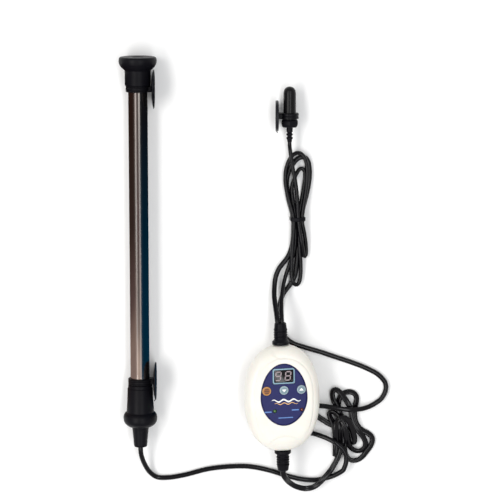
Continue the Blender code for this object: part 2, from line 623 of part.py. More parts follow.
SENSOR_LEAD_OUT = [
    (70.0, 121.8, 15.0), (70.1, 118.8, 14.4), (70.4, 115.6, 13.0), (70.6, 113.8, 12.6)]
SENSOR_LEAD_IN = [
    (67.2, -8.6, 4.8), (65.6, -14.6, 6.4), (63.9, -23.5, 9.6), (62.6, -34.0, 14.4),
    (62.6, -43.0, 20.6), (63.2, -49.0, 25.6), (63.6, -54.9, 28.6)]
MAINS_LEAD_OUT = [
    (64.3, -208.7, 28.8), (64.5, -211.6, 28.1), (66.6, -216.5, 24.6), (71.0, -223.0, 17.6),
    (78.0, -228.8, 11.6), (86.8, -231.6, 9.2), (94.6, -230.4, 9.0), (100.8, -226.2, 9.4),
    (105.8, -221.0, 9.5), (110.2, -216.0, 7.8), (113.6, -212.0, 5.4)]
MAINS_LEAD_TO_PLUG = [
    (99.8, -158.3, 2.6), (95.2, -154.4, 2.6), (91.4, -149.4, 2.6), (87.4, -144.2, 3.3),
    (83.8, -140.2, 5.0), (82.3, -138.9, 5.6)]


def rounded_section(y, low_x, high_x, low_z, high_z):
    """An eight-sided section across the hank at one place along it."""
    cx, cz = (low_x + high_x) / 2, (low_z + high_z) / 2
    a, b = (high_x - low_x) / 2, (high_z - low_z) / 2
    cut = min(a, b) * 0.45
    return [(cx + x, y, cz + z) for x, z in (
        (a, -b + cut), (a, b - cut), (a - cut, b), (-a + cut, b), (-a, b - cut), (-a, -b + cut),
        (-a + cut, -b), (a - cut, -b))]


def build_leads():
    lead("heater_lead_1", HEATER_LEAD_OUT, HEATER_LEAD_D, 14.0)
    lead("heater_lead_2", HEATER_LEAD_IN, HEATER_LEAD_D, 9.0)
    lead("sensor_lead_1", SENSOR_LEAD_OUT, SENSOR_LEAD_D, 4.0)
    lead("sensor_lead_2", SENSOR_LEAD_IN, SENSOR_LEAD_D, 8.0)
    lead("mains_lead_1", MAINS_LEAD_OUT, MAINS_LEAD_D, 8.0)
    lead("mains_lead_2", MAINS_LEAD_TO_PLUG, MAINS_LEAD_D, 8.0)

    # the hank that both thin leads are folded into, pinched at its tie
    place("cord_hank", lofted_mesh([rounded_section(*s) for s in (
        (112.4, 71.5, 88.0, 0.0, 6.0), (107.0, 67.5, 91.5, 0.0, 9.0),
        (98.0, 64.2, 94.4, 0.0, 10.0), (84.0, 62.2, 95.2, 0.0, 10.5),
        (70.0, 62.8, 92.0, 0.0, 10.5), (58.0, 66.0, 89.0, 0.0, 11.0),
        (50.0, 69.5, 86.6, 0.0, 11.5), (47.2, 72.0, 84.4, 1.9, 10.5),
        (41.8, 72.0, 84.4, 1.9, 10.5), (38.8, 70.8, 85.6, 0.0, 11.5),
        (20.0, 70.0, 87.0, 0.0, 11.0), (4.0, 69.2, 89.6, 0.0, 11.0),
        (-8.0, 70.0, 88.0, 0.0, 10.0), (-18.0, 71.4, 86.4, 0.0, 9.0),
        (-25.4, 74.0, 82.4, 0.0, 7.0))]), "lead_jacket", LAYOUT)
    ring = place("hank_tie", prism_mesh(rounded_box(8.0, 6.1, 2.6, (78.2, -6.2), 4), -2.2, 2.2),
                 "rubber", LAYOUT, (0, 44.5, 0), UP_Y)
    boolean(ring, cutter(prism_mesh(rounded_box(6.5, 4.65, 0.6, (78.2, -6.2), 2), -4.0, 4.0),
                         LAYOUT, (0, 44.5, 0), UP_Y, name="tie_way"), "DIFFERENCE")

    # the mains lead's bundle: folded, then tied round with its own cord
    place("mains_bundle", lofted_mesh([rounded_section(*s) for s in (
        (-126.8, 112.0, 136.0, 0.0, 5.5), (-131.0, 108.6, 141.0, 0.0, 7.0),
        (-140.0, 107.8, 143.4, 0.0, 7.6), (-150.0, 110.0, 138.4, 0.0, 7.6),
        (-156.0, 107.4, 138.4, 0.0, 10.5), (-163.0, 103.4, 140.0, 0.0, 11.0),
        (-170.0, 107.6, 143.0, 0.0, 9.6), (-177.0, 110.4, 158.0, 0.0, 7.6),
        (-186.0, 110.2, 161.0, 0.0, 7.4), (-196.0, 110.4, 158.0, 0.0, 7.4),
        (-203.0, 112.0, 150.0, 0.0, 7.0), (-209.0, 127.0, 146.0, 0.0, 5.0))]),
        "lead_jacket", LAYOUT)

    # plug: a moulded body with a tapered tail, and two flat blades
    half = PLUG_L / 2
    body = []
    for x, w, t in ((-half - 9.6, 3.2, 3.0), (-half - 1.0, 4.2, 3.8), (-half + 1.0, 7.4, 5.2),
                    (-half + 5.0, 9.6, 6.3), (-half + 14.0, 11.0, 6.5), (half - 1.2, 11.0, 6.5),
                    (half, 10.2, 5.8)):
        body.append([(x, y, z) for y, z in outline(w, t, 16, 3.0)])
    place("plug_body", lofted_mesh(body), "black_plastic", PLUG)
    for i, y in enumerate((-6.35, 6.35)):
        blade = [(half + 0.3, -3.2), (half + 14.4, -3.2), (half + 16.2, -1.6),
                 (half + 16.2, 1.6), (half + 14.4, 3.2), (half + 0.3, 3.2)]
        place(f"plug_blade_{i + 1}", prism_mesh(blade, -0.75, 0.75), "brass", PLUG, (0, y, 0),
              (math.radians(90), 0, 0))


build_heater()
build_sensor()
build_case()
build_leads()
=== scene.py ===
"""Looks of the submersible aquarium heater: heater, sensor, thermostat and their three leads.

Lengths below are millimetres in the layout of the CAD part; P() and the matrices turn them
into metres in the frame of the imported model.
"""
import math

import bmesh
import bpy
import numpy as np
from mathutils import Matrix, Vector


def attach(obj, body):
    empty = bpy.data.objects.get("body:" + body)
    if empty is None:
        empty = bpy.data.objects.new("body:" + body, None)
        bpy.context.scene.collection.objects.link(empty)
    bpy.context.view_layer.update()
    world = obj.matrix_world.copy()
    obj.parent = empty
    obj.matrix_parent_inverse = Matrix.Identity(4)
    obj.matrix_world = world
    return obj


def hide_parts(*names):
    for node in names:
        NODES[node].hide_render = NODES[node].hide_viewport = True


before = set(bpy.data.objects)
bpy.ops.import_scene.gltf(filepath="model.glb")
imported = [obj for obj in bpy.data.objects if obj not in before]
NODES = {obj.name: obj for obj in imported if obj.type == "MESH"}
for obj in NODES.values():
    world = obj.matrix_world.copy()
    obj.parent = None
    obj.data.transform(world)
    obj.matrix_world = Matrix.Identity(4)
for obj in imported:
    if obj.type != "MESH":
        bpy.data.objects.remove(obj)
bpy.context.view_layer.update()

MM = 0.001
OX, OY = -1.328, 0.143                 # the layout's offset in the frame
SCENE = bpy.context.scene


def P(x, y, z):
    return Vector(((x + OX) * MM, (y + OY) * MM, z * MM))


SCALE = Matrix.Scale(MM, 4)
UP_Y = Matrix.Rotation(math.radians(-90), 4, "X")
FLAT = Matrix.Translation(P(0, 0, 0)) @ SCALE
HEATER0 = Matrix.Translation(P(-79.0, 0, 19.0)) @ SCALE
HEATER = Matrix.Translation(P(-79.0, 0, 19.0)) @ UP_Y @ SCALE
SENSOR0 = Matrix.Translation(P(70.0, 0, 15.2)) @ SCALE
SENSOR = Matrix.Translation(P(70.0, 0, 15.2)) @ UP_Y @ SCALE
CASE = (Matrix.Translation(P(62.7, -132.2, 28.9)) @ Matrix.Rotation(math.radians(1.2), 4, "Z")
        @ Matrix.Rotation(math.radians(8.5), 4, "Y") @ SCALE)
CASE_UP = CASE @ Matrix.Rotation(math.radians(-90), 4, "X")
CASE_DOWN = CASE @ Matrix.Rotation(math.radians(90), 4, "X")
PLUG = (Matrix.Translation(P(62.0, -122.0, 6.5)) @ Matrix.Rotation(math.radians(140), 4, "Z") @ SCALE)

# ================================================================ camera
eye = bpy.data.cameras.new("eye")
eye.lens, eye.sensor_width, eye.clip_start, eye.clip_end = 169.2, 36.0, 0.05, 50.0
camera = bpy.data.objects.new("eye", eye)
camera.location = P(31.0, 12.0 + 2350.0 * math.sin(math.radians(9.5)),
                    2350.0 * math.cos(math.radians(9.5)))
camera.rotation_euler = (math.radians(-9.5), 0.0, 0.0)
SCENE.collection.objects.link(camera)
SCENE.camera = camera
SCENE.view_settings.view_transform = "Standard"
SCENE.view_settings.look = "None"


# ================================================================ materials
def links(material):
    tree = material.node_tree
    return tree.nodes, tree.links


def shader_of(name, colour, rough, metal=0.0, **more):
    made = bpy.data.materials.new(name)
    made.use_nodes = True
    made.diffuse_color = (*colour, 1.0)
    shader = made.node_tree.nodes["Principled BSDF"]
    shader.inputs["Base Color"].default_value = (*colour, 1.0)
    shader.inputs["Roughness"].default_value = rough
    shader.inputs["Metallic"].default_value = metal
    for key, value in more.items():
        shader.inputs[key.replace("_", " ")].default_value = value
    return made, shader


def node(tree, kind, **settings):
    made = tree.nodes.new(kind)
    for key, value in settings.items():
        if key in made.inputs:
            made.inputs[key].default_value = value
        else:
            setattr(made, key, value)
    return made


def spots(tree, stretch=(1, 1, 1)):
    """The surface's own coordinates in millimetres, stretched where a grain runs one way."""
    where = tree.nodes.new("ShaderNodeTexCoord")
    fit = tree.nodes.new("ShaderNodeMapping")
    fit.inputs["Scale"].default_value = [1000.0 * s for s in stretch]
    tree.links.new(where.outputs["Object"], fit.inputs["Vector"])
    return fit.outputs["Vector"]


def noise(tree, vector, scale, detail=3.0, rough=0.55):
    made = tree.nodes.new("ShaderNodeTexNoise")
    made.inputs["Scale"].default_value = scale
    made.inputs["Detail"].default_value = detail
    made.inputs["Roughness"].default_value = rough
    tree.links.new(vector, made.inputs["Vector"])
    return made.outputs["Fac"]


def ramp(tree, value, stops):
    made = tree.nodes.new("ShaderNodeValToRGB")
    made.color_ramp.elements[0].position = stops[0][0]
    made.color_ramp.elements[0].color = (*stops[0][1], 1.0)
    made.color_ramp.elements[1].position = stops[-1][0]
    made.color_ramp.elements[1].color = (*stops[-1][1], 1.0)
    for place, colour in stops[1:-1]:
        made.color_ramp.elements.new(place).color = (*colour, 1.0)
    tree.links.new(value, made.inputs["Fac"])
    return made.outputs["Color"]


def span(tree, value, low, high):
    made = tree.nodes.new("ShaderNodeMapRange")
    made.inputs["To Min"].default_value = low
    made.inputs["To Max"].default_value = high
    tree.links.new(value, made.inputs["Value"])
    return made.outputs["Result"]


def bump(tree, shader, height, strength, distance=0.0001):
    made = tree.nodes.new("ShaderNodeBump")
    made.inputs["Strength"].default_value = strength
    made.inputs["Distance"].default_value = distance
    tree.links.new(height, made.inputs["Height"])
    tree.links.new(made.outputs["Normal"], shader.inputs["Normal"])


def moulded(name, colour, rough, grain=2.2, depth=0.25, shift=0.12, spread=0.06, metal=0.0,
            broad=0.09, **more):
    """Moulded rubber or plastic: a fine surface grain, and slow changes of tone and gloss."""
    made, shader = shader_of(name, colour, rough, metal, **more)
    tree = made.node_tree
    where = spots(tree)
    slow = noise(tree, where, broad, 4.0)
    low = tuple(c * (1 - shift) for c in colour)
    high = tuple(min(1.0, c * (1 + shift)) for c in colour)
    tree.links.new(ramp(tree, slow, [(0.3, low), (0.7, high)]), shader.inputs["Base Color"])
    fine = noise(tree, where, grain, 5.0, 0.6)
    tree.links.new(span(tree, noise(tree, where, grain * 0.35, 3.0), max(0.03, rough - spread),
                        rough + spread), shader.inputs["Roughness"])
    bump(tree, shader, fine, depth)
    return made


def drawn_metal(name, colour, rough, along=(1, 0.02, 1), dark=0.8, aniso=0.4):
    """Metal drawn or ground in one direction: fine lines along it and a slow bloom of tone."""
    made, shader = shader_of(name, colour, rough, 1.0)
    tree = made.node_tree
    lines = noise(tree, spots(tree, along), 3.0, 4.0, 0.7)
    bloom = noise(tree, spots(tree, (0.02, 0.012, 0.02)), 1.3, 4.0, 0.6)
    mix = tree.nodes.new("ShaderNodeMix")
    mix.data_type = "RGBA"
    mix.blend_type = "MULTIPLY"
    mix.inputs["Factor"].default_value = 0.7
    tree.links.new(ramp(tree, bloom, [(0.25, tuple(c * dark for c in colour)), (0.75, colour)]),
                   mix.inputs["A"])
    tree.links.new(ramp(tree, lines, [(0.3, (0.86, 0.86, 0.86)), (0.7, (1, 1, 1))]), mix.inputs["B"])
    tree.links.new(mix.outputs["Result"], shader.inputs["Base Color"])
    tree.links.new(span(tree, lines, rough * 0.8, rough * 1.25), shader.inputs["Roughness"])
    bump(tree, shader, lines, 0.12, 0.00004)
    return made


MATERIALS = {}


def mat(name):
    if name in MATERIALS:
        return MATERIALS[name]
    make = {
        "titanium": lambda: drawn_metal("titanium", (0.62, 0.565, 0.525), 0.13, dark=0.84),
        "steel": lambda: drawn_metal("steel", (0.62, 0.62, 0.64), 0.30, (1, 1, 1)),
        "brass": lambda: drawn_metal("brass", (0.80, 0.62, 0.30), 0.24, (0.1, 1, 1)),
        "wire": lambda: drawn_metal("heating_wire", (0.55, 0.52, 0.50), 0.38, (1, 1, 1)),
        "rubber": lambda: moulded("black_rubber", (0.0040, 0.0038, 0.0058), 0.40, 2.6, 0.22,
                                  Specular_IOR_Level=0.10),
        "ring_rubber": lambda: moulded("clip_rubber", (0.0040, 0.0038, 0.0054), 0.36, 2.2, 0.2,
                                       Specular_IOR_Level=0.11),
        "seal": lambda: moulded("seal_rubber", (0.012, 0.012, 0.013), 0.55),
        "cup": lambda: moulded("cup_rubber", (0.0058, 0.0062, 0.0090), 0.26, 1.2, 0.12,
                               Specular_IOR_Level=0.24),
        "probe": lambda: moulded("sensor_black", (0.0050, 0.0048, 0.0054), 0.28, 1.8, 0.12,
                                 Specular_IOR_Level=0.18),
        "jacket": lambda: moulded("lead_jacket", (0.0028, 0.0024, 0.0036), 0.20, 1.2, 0.05,
                                  spread=0.04, Specular_IOR_Level=0.17,
                                  Coat_Weight=0.10, Coat_Roughness=0.06),
        "mains": lambda: moulded("mains_jacket", (0.0030, 0.0025, 0.0036), 0.19, 1.2, 0.06,
                                 spread=0.04, Specular_IOR_Level=0.20,
                                 Coat_Weight=0.14, Coat_Roughness=0.06),
        "black": lambda: moulded("black_plastic", (0.014, 0.014, 0.016), 0.42, 2.4, 0.3),
        "ceramic": lambda: moulded("ceramic", (0.82, 0.80, 0.74), 0.6),
        "magnesia": lambda: moulded("magnesia", (0.86, 0.85, 0.82), 0.9, 4.0, 0.8),
        "epoxy": lambda: moulded("epoxy", (0.05, 0.05, 0.06), 0.4, 0.6, 0.15),
        "cream": cream,
        "navy": lambda: moulded("label_navy", (0.0034, 0.0038, 0.062), 0.34, 5.0, 0.04, 0.07,
                                0.04, Specular_IOR_Level=0.18),
        "field": lambda: moulded("label_field", (0.0098, 0.0125, 0.092), 0.34, 5.0, 0.04, 0.09,
                                 0.04, Specular_IOR_Level=0.18),
        "bezel": lambda: moulded("bezel_blue", (0.215, 0.36, 0.455), 0.34, 3.0, 0.1, 0.06),
        "window": lambda: moulded("display_window", (0.0032, 0.0024, 0.0032), 0.12, 0.6, 0.02, 0.3,
                                  0.03, Specular_IOR_Level=0.3),
        "digit": lambda: moulded("digit_grey", (0.33, 0.265, 0.285), 0.45, 2.0, 0.1),
        "digit_dark": lambda: moulded("digit_shade", (0.050, 0.036, 0.046), 0.45, 2.0, 0.1),
        "orange": lambda: moulded("key_orange", (0.33, 0.105, 0.008), 0.40, 2.6, 0.2, 0.14),
        "orange_dark": lambda: moulded("key_brown", (0.075, 0.020, 0.003), 0.42, 2.6, 0.2, 0.14),
        # key bodies: the orange of the key's face made lighter, painted highlight on the eased rim
        "orange_with_painted_highlight": lambda: moulded("orange_with_painted_highlight", (0.58, 0.31, 0.10), 0.38, 2.6, 0.15),
        "grey": lambda: moulded("key_grey", (0.155, 0.235, 0.275), 0.42, 2.6, 0.2, 0.12),
        # the grey key's body: its face's grey made lighter, painted highlight on the eased rim
        "grey_with_painted_highlight": lambda: moulded("grey_key_with_painted_highlight", (0.36, 0.46, 0.51), 0.38, 2.6, 0.15),
        "white": lambda: moulded("print_white", (0.86, 0.87, 0.86), 0.4, 2.6, 0.1, 0.03),
        "amber": lambda: moulded("print_amber", (0.80, 0.46, 0.17), 0.4, 2.6, 0.1, 0.08),
        "blue": lambda: moulded("print_blue", (0.085, 0.20, 0.50), 0.4, 2.6, 0.1, 0.05),
        "board": lambda: moulded("board_green", (0.03, 0.20, 0.08), 0.4, 1.0, 0.2),
        "relay": lambda: moulded("relay_blue", (0.05, 0.16, 0.42), 0.38),
        "yellow": lambda: moulded("coil_yellow", (0.75, 0.62, 0.12), 0.5, 1.4, 0.5),
        "block": lambda: moulded("block_green", (0.08, 0.36, 0.16), 0.45),
        "led_green": lambda: lamp("led_green", (0.050, 0.135, 0.022)),
        "led_red": lambda: lamp("led_red", (0.115, 0.014, 0.005)),
    }[name]
    MATERIALS[name] = make()
    return MATERIALS[name]


def cream():
    """Cream ABS: a satin skin with a faint warm unevenness and the finest orange peel."""
    made, shader = shader_of("case_cream", (0.83, 0.79, 0.70), 0.36)
    shader.inputs["Subsurface Weight"].default_value = 0.06
    shader.inputs["Subsurface Scale"].default_value = 0.002
    tree = made.node_tree
    where = spots(tree)
    slow = noise(tree, where, 0.03, 3.0)
    tree.links.new(ramp(tree, slow, [(0.3, (0.770, 0.742, 0.672)), (0.5, (0.800, 0.775, 0.712)),
                                     (0.72, (0.822, 0.802, 0.748))]), shader.inputs["Base Color"])
    tree.links.new(span(tree, noise(tree, where, 0.5, 4.0), 0.30, 0.42), shader.inputs["Roughness"])
    bump(tree, shader, noise(tree, where, 1.6, 4.0, 0.6), 0.10)
    return made


def lamp(name, colour):
    """A tinted indicator lens, unlit: clear skin over a deeper body."""
    made, shader = shader_of(name, colour, 0.14, 0.0, Coat_Weight=0.6, Coat_Roughness=0.05)
    tree = made.node_tree
    deep = noise(tree, spots(tree), 0.6, 2.0)
    tree.links.new(ramp(tree, deep, [(0.3, tuple(c * 0.6 for c in colour)),
                                     (0.7, tuple(min(1, c * 1.3) for c in colour))]),
                   shader.inputs["Base Color"])
    return made


# ================================================================ making pieces
def show(name, bm, matrix, material, body, replaces=(), angle=38, recalc=True):
    """A bmesh in millimetres of its own axes becomes a piece that rides on a CAD body."""
    if recalc:
        bmesh.ops.recalc_face_normals(bm, faces=bm.faces)
    mesh = bpy.data.meshes.new(name)
    bm.to_mesh(mesh)
    bm.free()
    mesh.transform(matrix)
    mesh.materials.append(mat(material))
    mesh.shade_smooth()
    mesh.set_sharp_from_angle(angle=math.radians(angle))
    made = bpy.data.objects.new(name, mesh)
    SCENE.collection.objects.link(made)
    if body:
        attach(made, body)
    if replaces:
        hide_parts(*replaces)
    return made


def softened(profile, radius=0.4, steps=4):
    """The profile with each of its corners rounded; its two ends stay."""
    points = [Vector(p) for p in profile]
    made = [points[0]]
    for before, here, after in zip(points, points[1:], points[2:]):
        a, b = before - here, after - here
        reach = min(radius, a.length * 0.45, b.length * 0.45)
        if reach < 1e-4 or a.length < 1e-6 or b.length < 1e-6:
            made.append(here)
            continue
        one, two = here + a.normalized() * reach, here + b.normalized() * reach
        if (one - here).normalized().dot((two - here).normalized()) < -0.999:
            made.append(here)
            continue
        for k in range(steps + 1):
            t = k / steps
            made.append(one * (1 - t) ** 2 + here * 2 * t * (1 - t) + two * t ** 2)
    made.append(points[-1])
    return [tuple(p) for p in made]


def turned(profile, segments=96, loop=False, wobble=None):
    bm = bmesh.new()
    rings = []
    for radius, height in profile:
        if radius < 1e-6:
            rings.append([bm.verts.new((0, 0, height))])
            continue
        ring = []
        for i in range(segments):
            t = 2 * math.pi * i / segments
            r, h = (radius, height) if wobble is None else wobble(radius, height, t)
            ring.append(bm.verts.new((r * math.cos(t), r * math.sin(t), h)))
        rings.append(ring)
    pairs = list(zip(rings, rings[1:]))
    if loop:
        pairs.append((rings[-1], rings[0]))
    for low, high in pairs:
        if len(low) == 1 and len(high) == 1:
            continue
        for i in range(segments):
            j = (i + 1) % segments
            if len(low) == 1:
                bm.faces.new((low[0], high[j], high[i]))
            elif len(high) == 1:
                bm.faces.new((low[i], low[j], high[0]))
            else:
                bm.faces.new((low[i], low[j], high[j], high[i]))
    return bm


def lofted(sections, caps=True):
    bm = bmesh.new()
    rings = [[bm.verts.new(p) for p in section] for section in sections]
    count = len(rings[0])
    for low, high in zip(rings, rings[1:]):
        for i in range(count):
            j = (i + 1) % count
            bm.faces.new((low[i], low[j], high[j], high[i]))
    if caps:
        bm.faces.new(list(reversed(rings[0])))
        bm.faces.new(rings[-1])
    return bm


def prism(points, low, high, edge=0.0):
    """A plate of that outline; its top edge may be eased."""
    if edge <= 0:
        return lofted([[(x, y, low) for x, y in points], [(x, y, high) for x, y in points]])
    cx = sum(p[0] for p in points) / len(points)
    cy = sum(p[1] for p in points) / len(points)
    reach = sum(math.hypot(p[0] - cx, p[1] - cy) for p in points) / len(points)

    def ring(less, z):
        k = 1 - less / reach
        return [(cx + (x - cx) * k, cy + (y - cy) * k, z) for x, y in points]
    rings = [ring(0, low), ring(0, high - edge)]
    for a in (30, 60, 90):
        t = math.radians(a)
        rings.append(ring(edge * (1 - math.cos(t)), high - edge + edge * math.sin(t)))
    return lofted(rings)


def superellipse(a, b, count, power=2.0, cx=0.0, cy=0.0):
    made = []
    for i in range(count):
        t = 2 * math.pi * i / count
        c, s = math.cos(t), math.sin(t)
        made.append((cx + a * math.copysign(abs(c) ** (2 / power), c),
                     cy + b * math.copysign(abs(s) ** (2 / power), s)))
    return made


def rounded_rect(a, b, radius, cx=0.0, cy=0.0, corner=7):
    made = []
    for sx, sy, first in ((1, 1, 0), (-1, 1, 90), (-1, -1, 180), (1, -1, 270)):
        for i in range(corner):
            t = math.radians(first + 90 * i / (corner - 1))
            made.append((cx + sx * (a - radius) + radius * math.cos(t),
                         cy + sy * (b - radius) + radius * math.sin(t)))
    return made


def carve(target, bm, matrix, operation="DIFFERENCE"):
    """Cuts a closed shape from a piece, or joins it on, and keeps the result as its mesh."""
    bmesh.ops.recalc_face_normals(bm, faces=bm.faces)
    mesh = bpy.data.meshes.new("tool")
    bm.to_mesh(mesh)
    bm.free()
    mesh.transform(matrix)
    tool = bpy.data.objects.new("tool", mesh)
    SCENE.collection.objects.link(tool)
    step = target.modifiers.new("cut", "BOOLEAN")
    step.operation, step.solver, step.object = operation, "EXACT", tool
    bpy.context.view_layer.update()
    graph = bpy.context.evaluated_depsgraph_get()
    new = bpy.data.meshes.new_from_object(target.evaluated_get(graph))
    target.modifiers.remove(step)
    old = target.data
    target.data = new
    new.shade_smooth()
    new.set_sharp_from_angle(angle=math.radians(38))
    bpy.data.objects.remove(tool)
    bpy.data.meshes.remove(mesh)
    bpy.data.meshes.remove(old)


# ================================================================ leads
# The heater's lead, 5 mm round: boot, along the table, over the mains bundle, back under the
# case, out in a wide loop, under the gland, into the hank.
HEATER_OUT = [
    (-79.0, -182.6, 19.0), (-79.0, -188.5, 18.9), (-78.4, -194.5, 17.6), (-75.5, -205.0, 12.0),
    (-70.5, -215.0, 6.2), (-63.5, -221.0, 3.2), (-53.0, -221.8, 2.6), (-36.5, -219.2, 2.6),
    (-9.6, -212.4, 2.6), (21.9, -209.8, 2.6), (36.0, -211.0, 2.6), (53.3, -215.0, 2.6),
    (67.5, -219.6, 2.6), (81.8, -223.2, 2.6), (96.0, -224.4, 2.6), (109.5, -221.6, 3.9),
    (119.6, -216.6, 7.4), (126.6, -210.6, 10.2), (129.3, -203.0, 11.8), (129.0, -195.6, 12.4),
    (125.0, -188.4, 12.6), (118.4, -183.0, 12.6), (110.4, -179.4, 10.6), (102.0, -177.0, 7.0),
    (93.6, -175.4, 3.4),
    (79.0, -175.6, 2.6), (68.0, -178.0, 2.6), (57.0, -179.6, 2.6), (47.5, -176.6, 2.6),
    (41.5, -169.0, 2.6), (42.0, -160.0, 2.6), (49.5, -153.4, 2.6), (61.0, -151.4, 2.6),
    (73.0, -152.0, 2.8), (80.0, -150.6, 5.6), (88.0, -148.0, 8.1), (95.0, -146.2, 8.7),
    (103.6, -145.4, 9.4), (112.0, -146.6, 11.0), (121.6, -148.4, 12.4), (131.6, -149.5, 12.2),
    (141.2, -149.9, 9.4), (149.4, -148.7, 5.8), (156.6, -145.4, 3.4), (163.4, -139.8, 2.6),
    (167.6, -132.0, 2.6), (167.6, -124.0, 2.6), (160.8, -115.4, 2.6), (147.9, -108.1, 2.6), (132.3, -101.9, 2.6), (116.6, -96.6, 2.6),
    (101.4, -91.4, 2.6), (86.0, -86.8, 2.6), (73.0, -82.0, 2.6), (64.5, -74.0, 2.6),
    (60.6, -62.0, 2.6), (60.4, -48.0, 2.6), (62.4, -36.5, 2.6), (66.5, -28.4, 2.6),
    (71.2, -23.2, 2.8)]
HEATER_TURNS = [
    (75.6, -17.6, 2.6), (77.2, -8.9, 2.6), (78.2, 3.3, 2.6), (79.1, 17.5, 2.8),
    (80.3, 30.9, 4.0), (81.4, 44.1, 5.0), (83.4, 54.6, 4.0), (85.5, 63.9, 2.8),
    (87.7, 73.3, 2.6), (89.7, 83.0, 2.6), (90.6, 92.6, 2.6), (90.2, 99.6, 2.6),
    (88.6, 105.8, 2.8), (85.2, 108.6, 3.4), (81.2, 108.1, 4.4), (77.0, 105.4, 4.8),
    (73.1, 99.4, 4.0), (69.6, 93.8, 2.8), (67.4, 86.6, 2.6), (66.8, 79.0, 2.6),
    (67.8, 70.9, 2.6), (70.1, 62.3, 2.8), (72.8, 53.5, 3.6), (75.0, 44.1, 4.6),
    (74.7, 31.8, 3.6), (74.4, 20.6, 3.4), (73.2, 11.3, 4.2), (69.9, 4.9, 5.0)]
HEATER_IN = [
    (64.6, 0.3, 4.6), (59.8, -6.4, 4.8), (56.6, -14.6, 6.0), (55.4, -23.6, 8.8),
    (55.2, -32.4, 12.8), (56.2, -41.4, 19.0), (57.4, -48.6, 25.0), (58.2, -54.9, 28.6),
    (58.5, -57.4, 29.2)]
# The sensor's lead, 4 mm round: probe, over the hank, twice round it, to the same gland.
SENSOR_OUT = [(70.0, 124.6, 15.2), (70.0, 121.8, 15.0), (70.1, 118.8, 14.4), (70.4, 115.6, 13.0),
              (70.9, 112.0, 12.2)]
SENSOR_TURNS = [
    (71.4, 108.8, 12.4), (72.8, 98.2, 12.2), (74.6, 88.7, 11.4), (76.7, 78.6, 10.6),
    (77.9, 67.6, 10.4), (78.1, 55.5, 11.0), (78.8, 45.1, 11.4), (80.3, 32.8, 10.0),
    (81.8, 21.4, 7.6), (83.3, 8.9, 5.4), (84.6, 2.6, 4.4), (86.5, 2.2, 4.2),
    (87.4, 7.6, 4.4), (86.8, 19.0, 5.4), (85.6, 28.4, 7.4), (83.5, 37.7, 9.0),
    (82.3, 44.8, 9.4), (83.7, 55.6, 8.0), (85.5, 65.1, 7.4), (86.9, 74.1, 7.2),
    (87.8, 84.1, 7.2), (88.0, 93.6, 7.0), (87.3, 102.6, 6.8), (85.2, 108.6, 6.8),
    (82.0, 112.3, 6.4), (78.3, 113.3, 5.4), (74.6, 111.4, 5.0), (70.8, 107.2, 5.4),
    (67.9, 100.5, 6.4), (66.0, 94.1, 6.8), (65.5, 86.6, 6.8), (66.0, 78.5, 6.8),
    (67.5, 70.6, 7.0), (69.9, 62.1, 7.4), (72.9, 53.2, 8.2), (75.3, 44.7, 9.0),
    (74.6, 32.5, 8.0), (73.7, 19.2, 6.6), (72.9, 7.1, 7.0), (72.3, -3.2, 6.0),
    (72.2, -14.2, 4.2), (73.7, -22.4, 2.8), (77.5, -26.4, 2.4), (80.9, -22.8, 2.6),
    (81.9, -14.6, 3.6), (81.9, -4.5, 4.6), (81.5, 6.4, 5.6), (80.6, 18.1, 6.4),
    (79.6, 31.4, 7.4), (79.1, 44.5, 7.4), (80.9, 54.8, 6.0), (83.0, 64.1, 4.0),
    (84.9, 72.9, 2.6), (86.4, 81.9, 2.2), (86.8, 91.3, 2.2), (85.3, 96.6, 2.2),
    (82.4, 98.1, 2.2), (79.2, 96.0, 2.2), (76.8, 89.4, 2.2), (74.4, 84.1, 2.2),
    (72.7, 78.9, 2.2), (71.7, 72.9, 2.2), (72.4, 64.9, 2.4), (74.4, 54.6, 4.4),
    (76.8, 44.3, 6.2), (76.4, 32.1, 5.6), (75.8, 19.9, 5.2), (74.3, 9.0, 3.6),
    (71.6, 0.6, 3.4)]
SENSOR_IN = [
    (68.6, -6.6, 4.4), (66.0, -14.4, 6.4), (63.9, -23.5, 9.6), (62.6, -34.0, 14.4),
    (62.4, -43.0, 20.6), (62.6, -49.0, 25.6), (62.8, -54.9, 28.6), (62.9, -57.4, 29.2)]
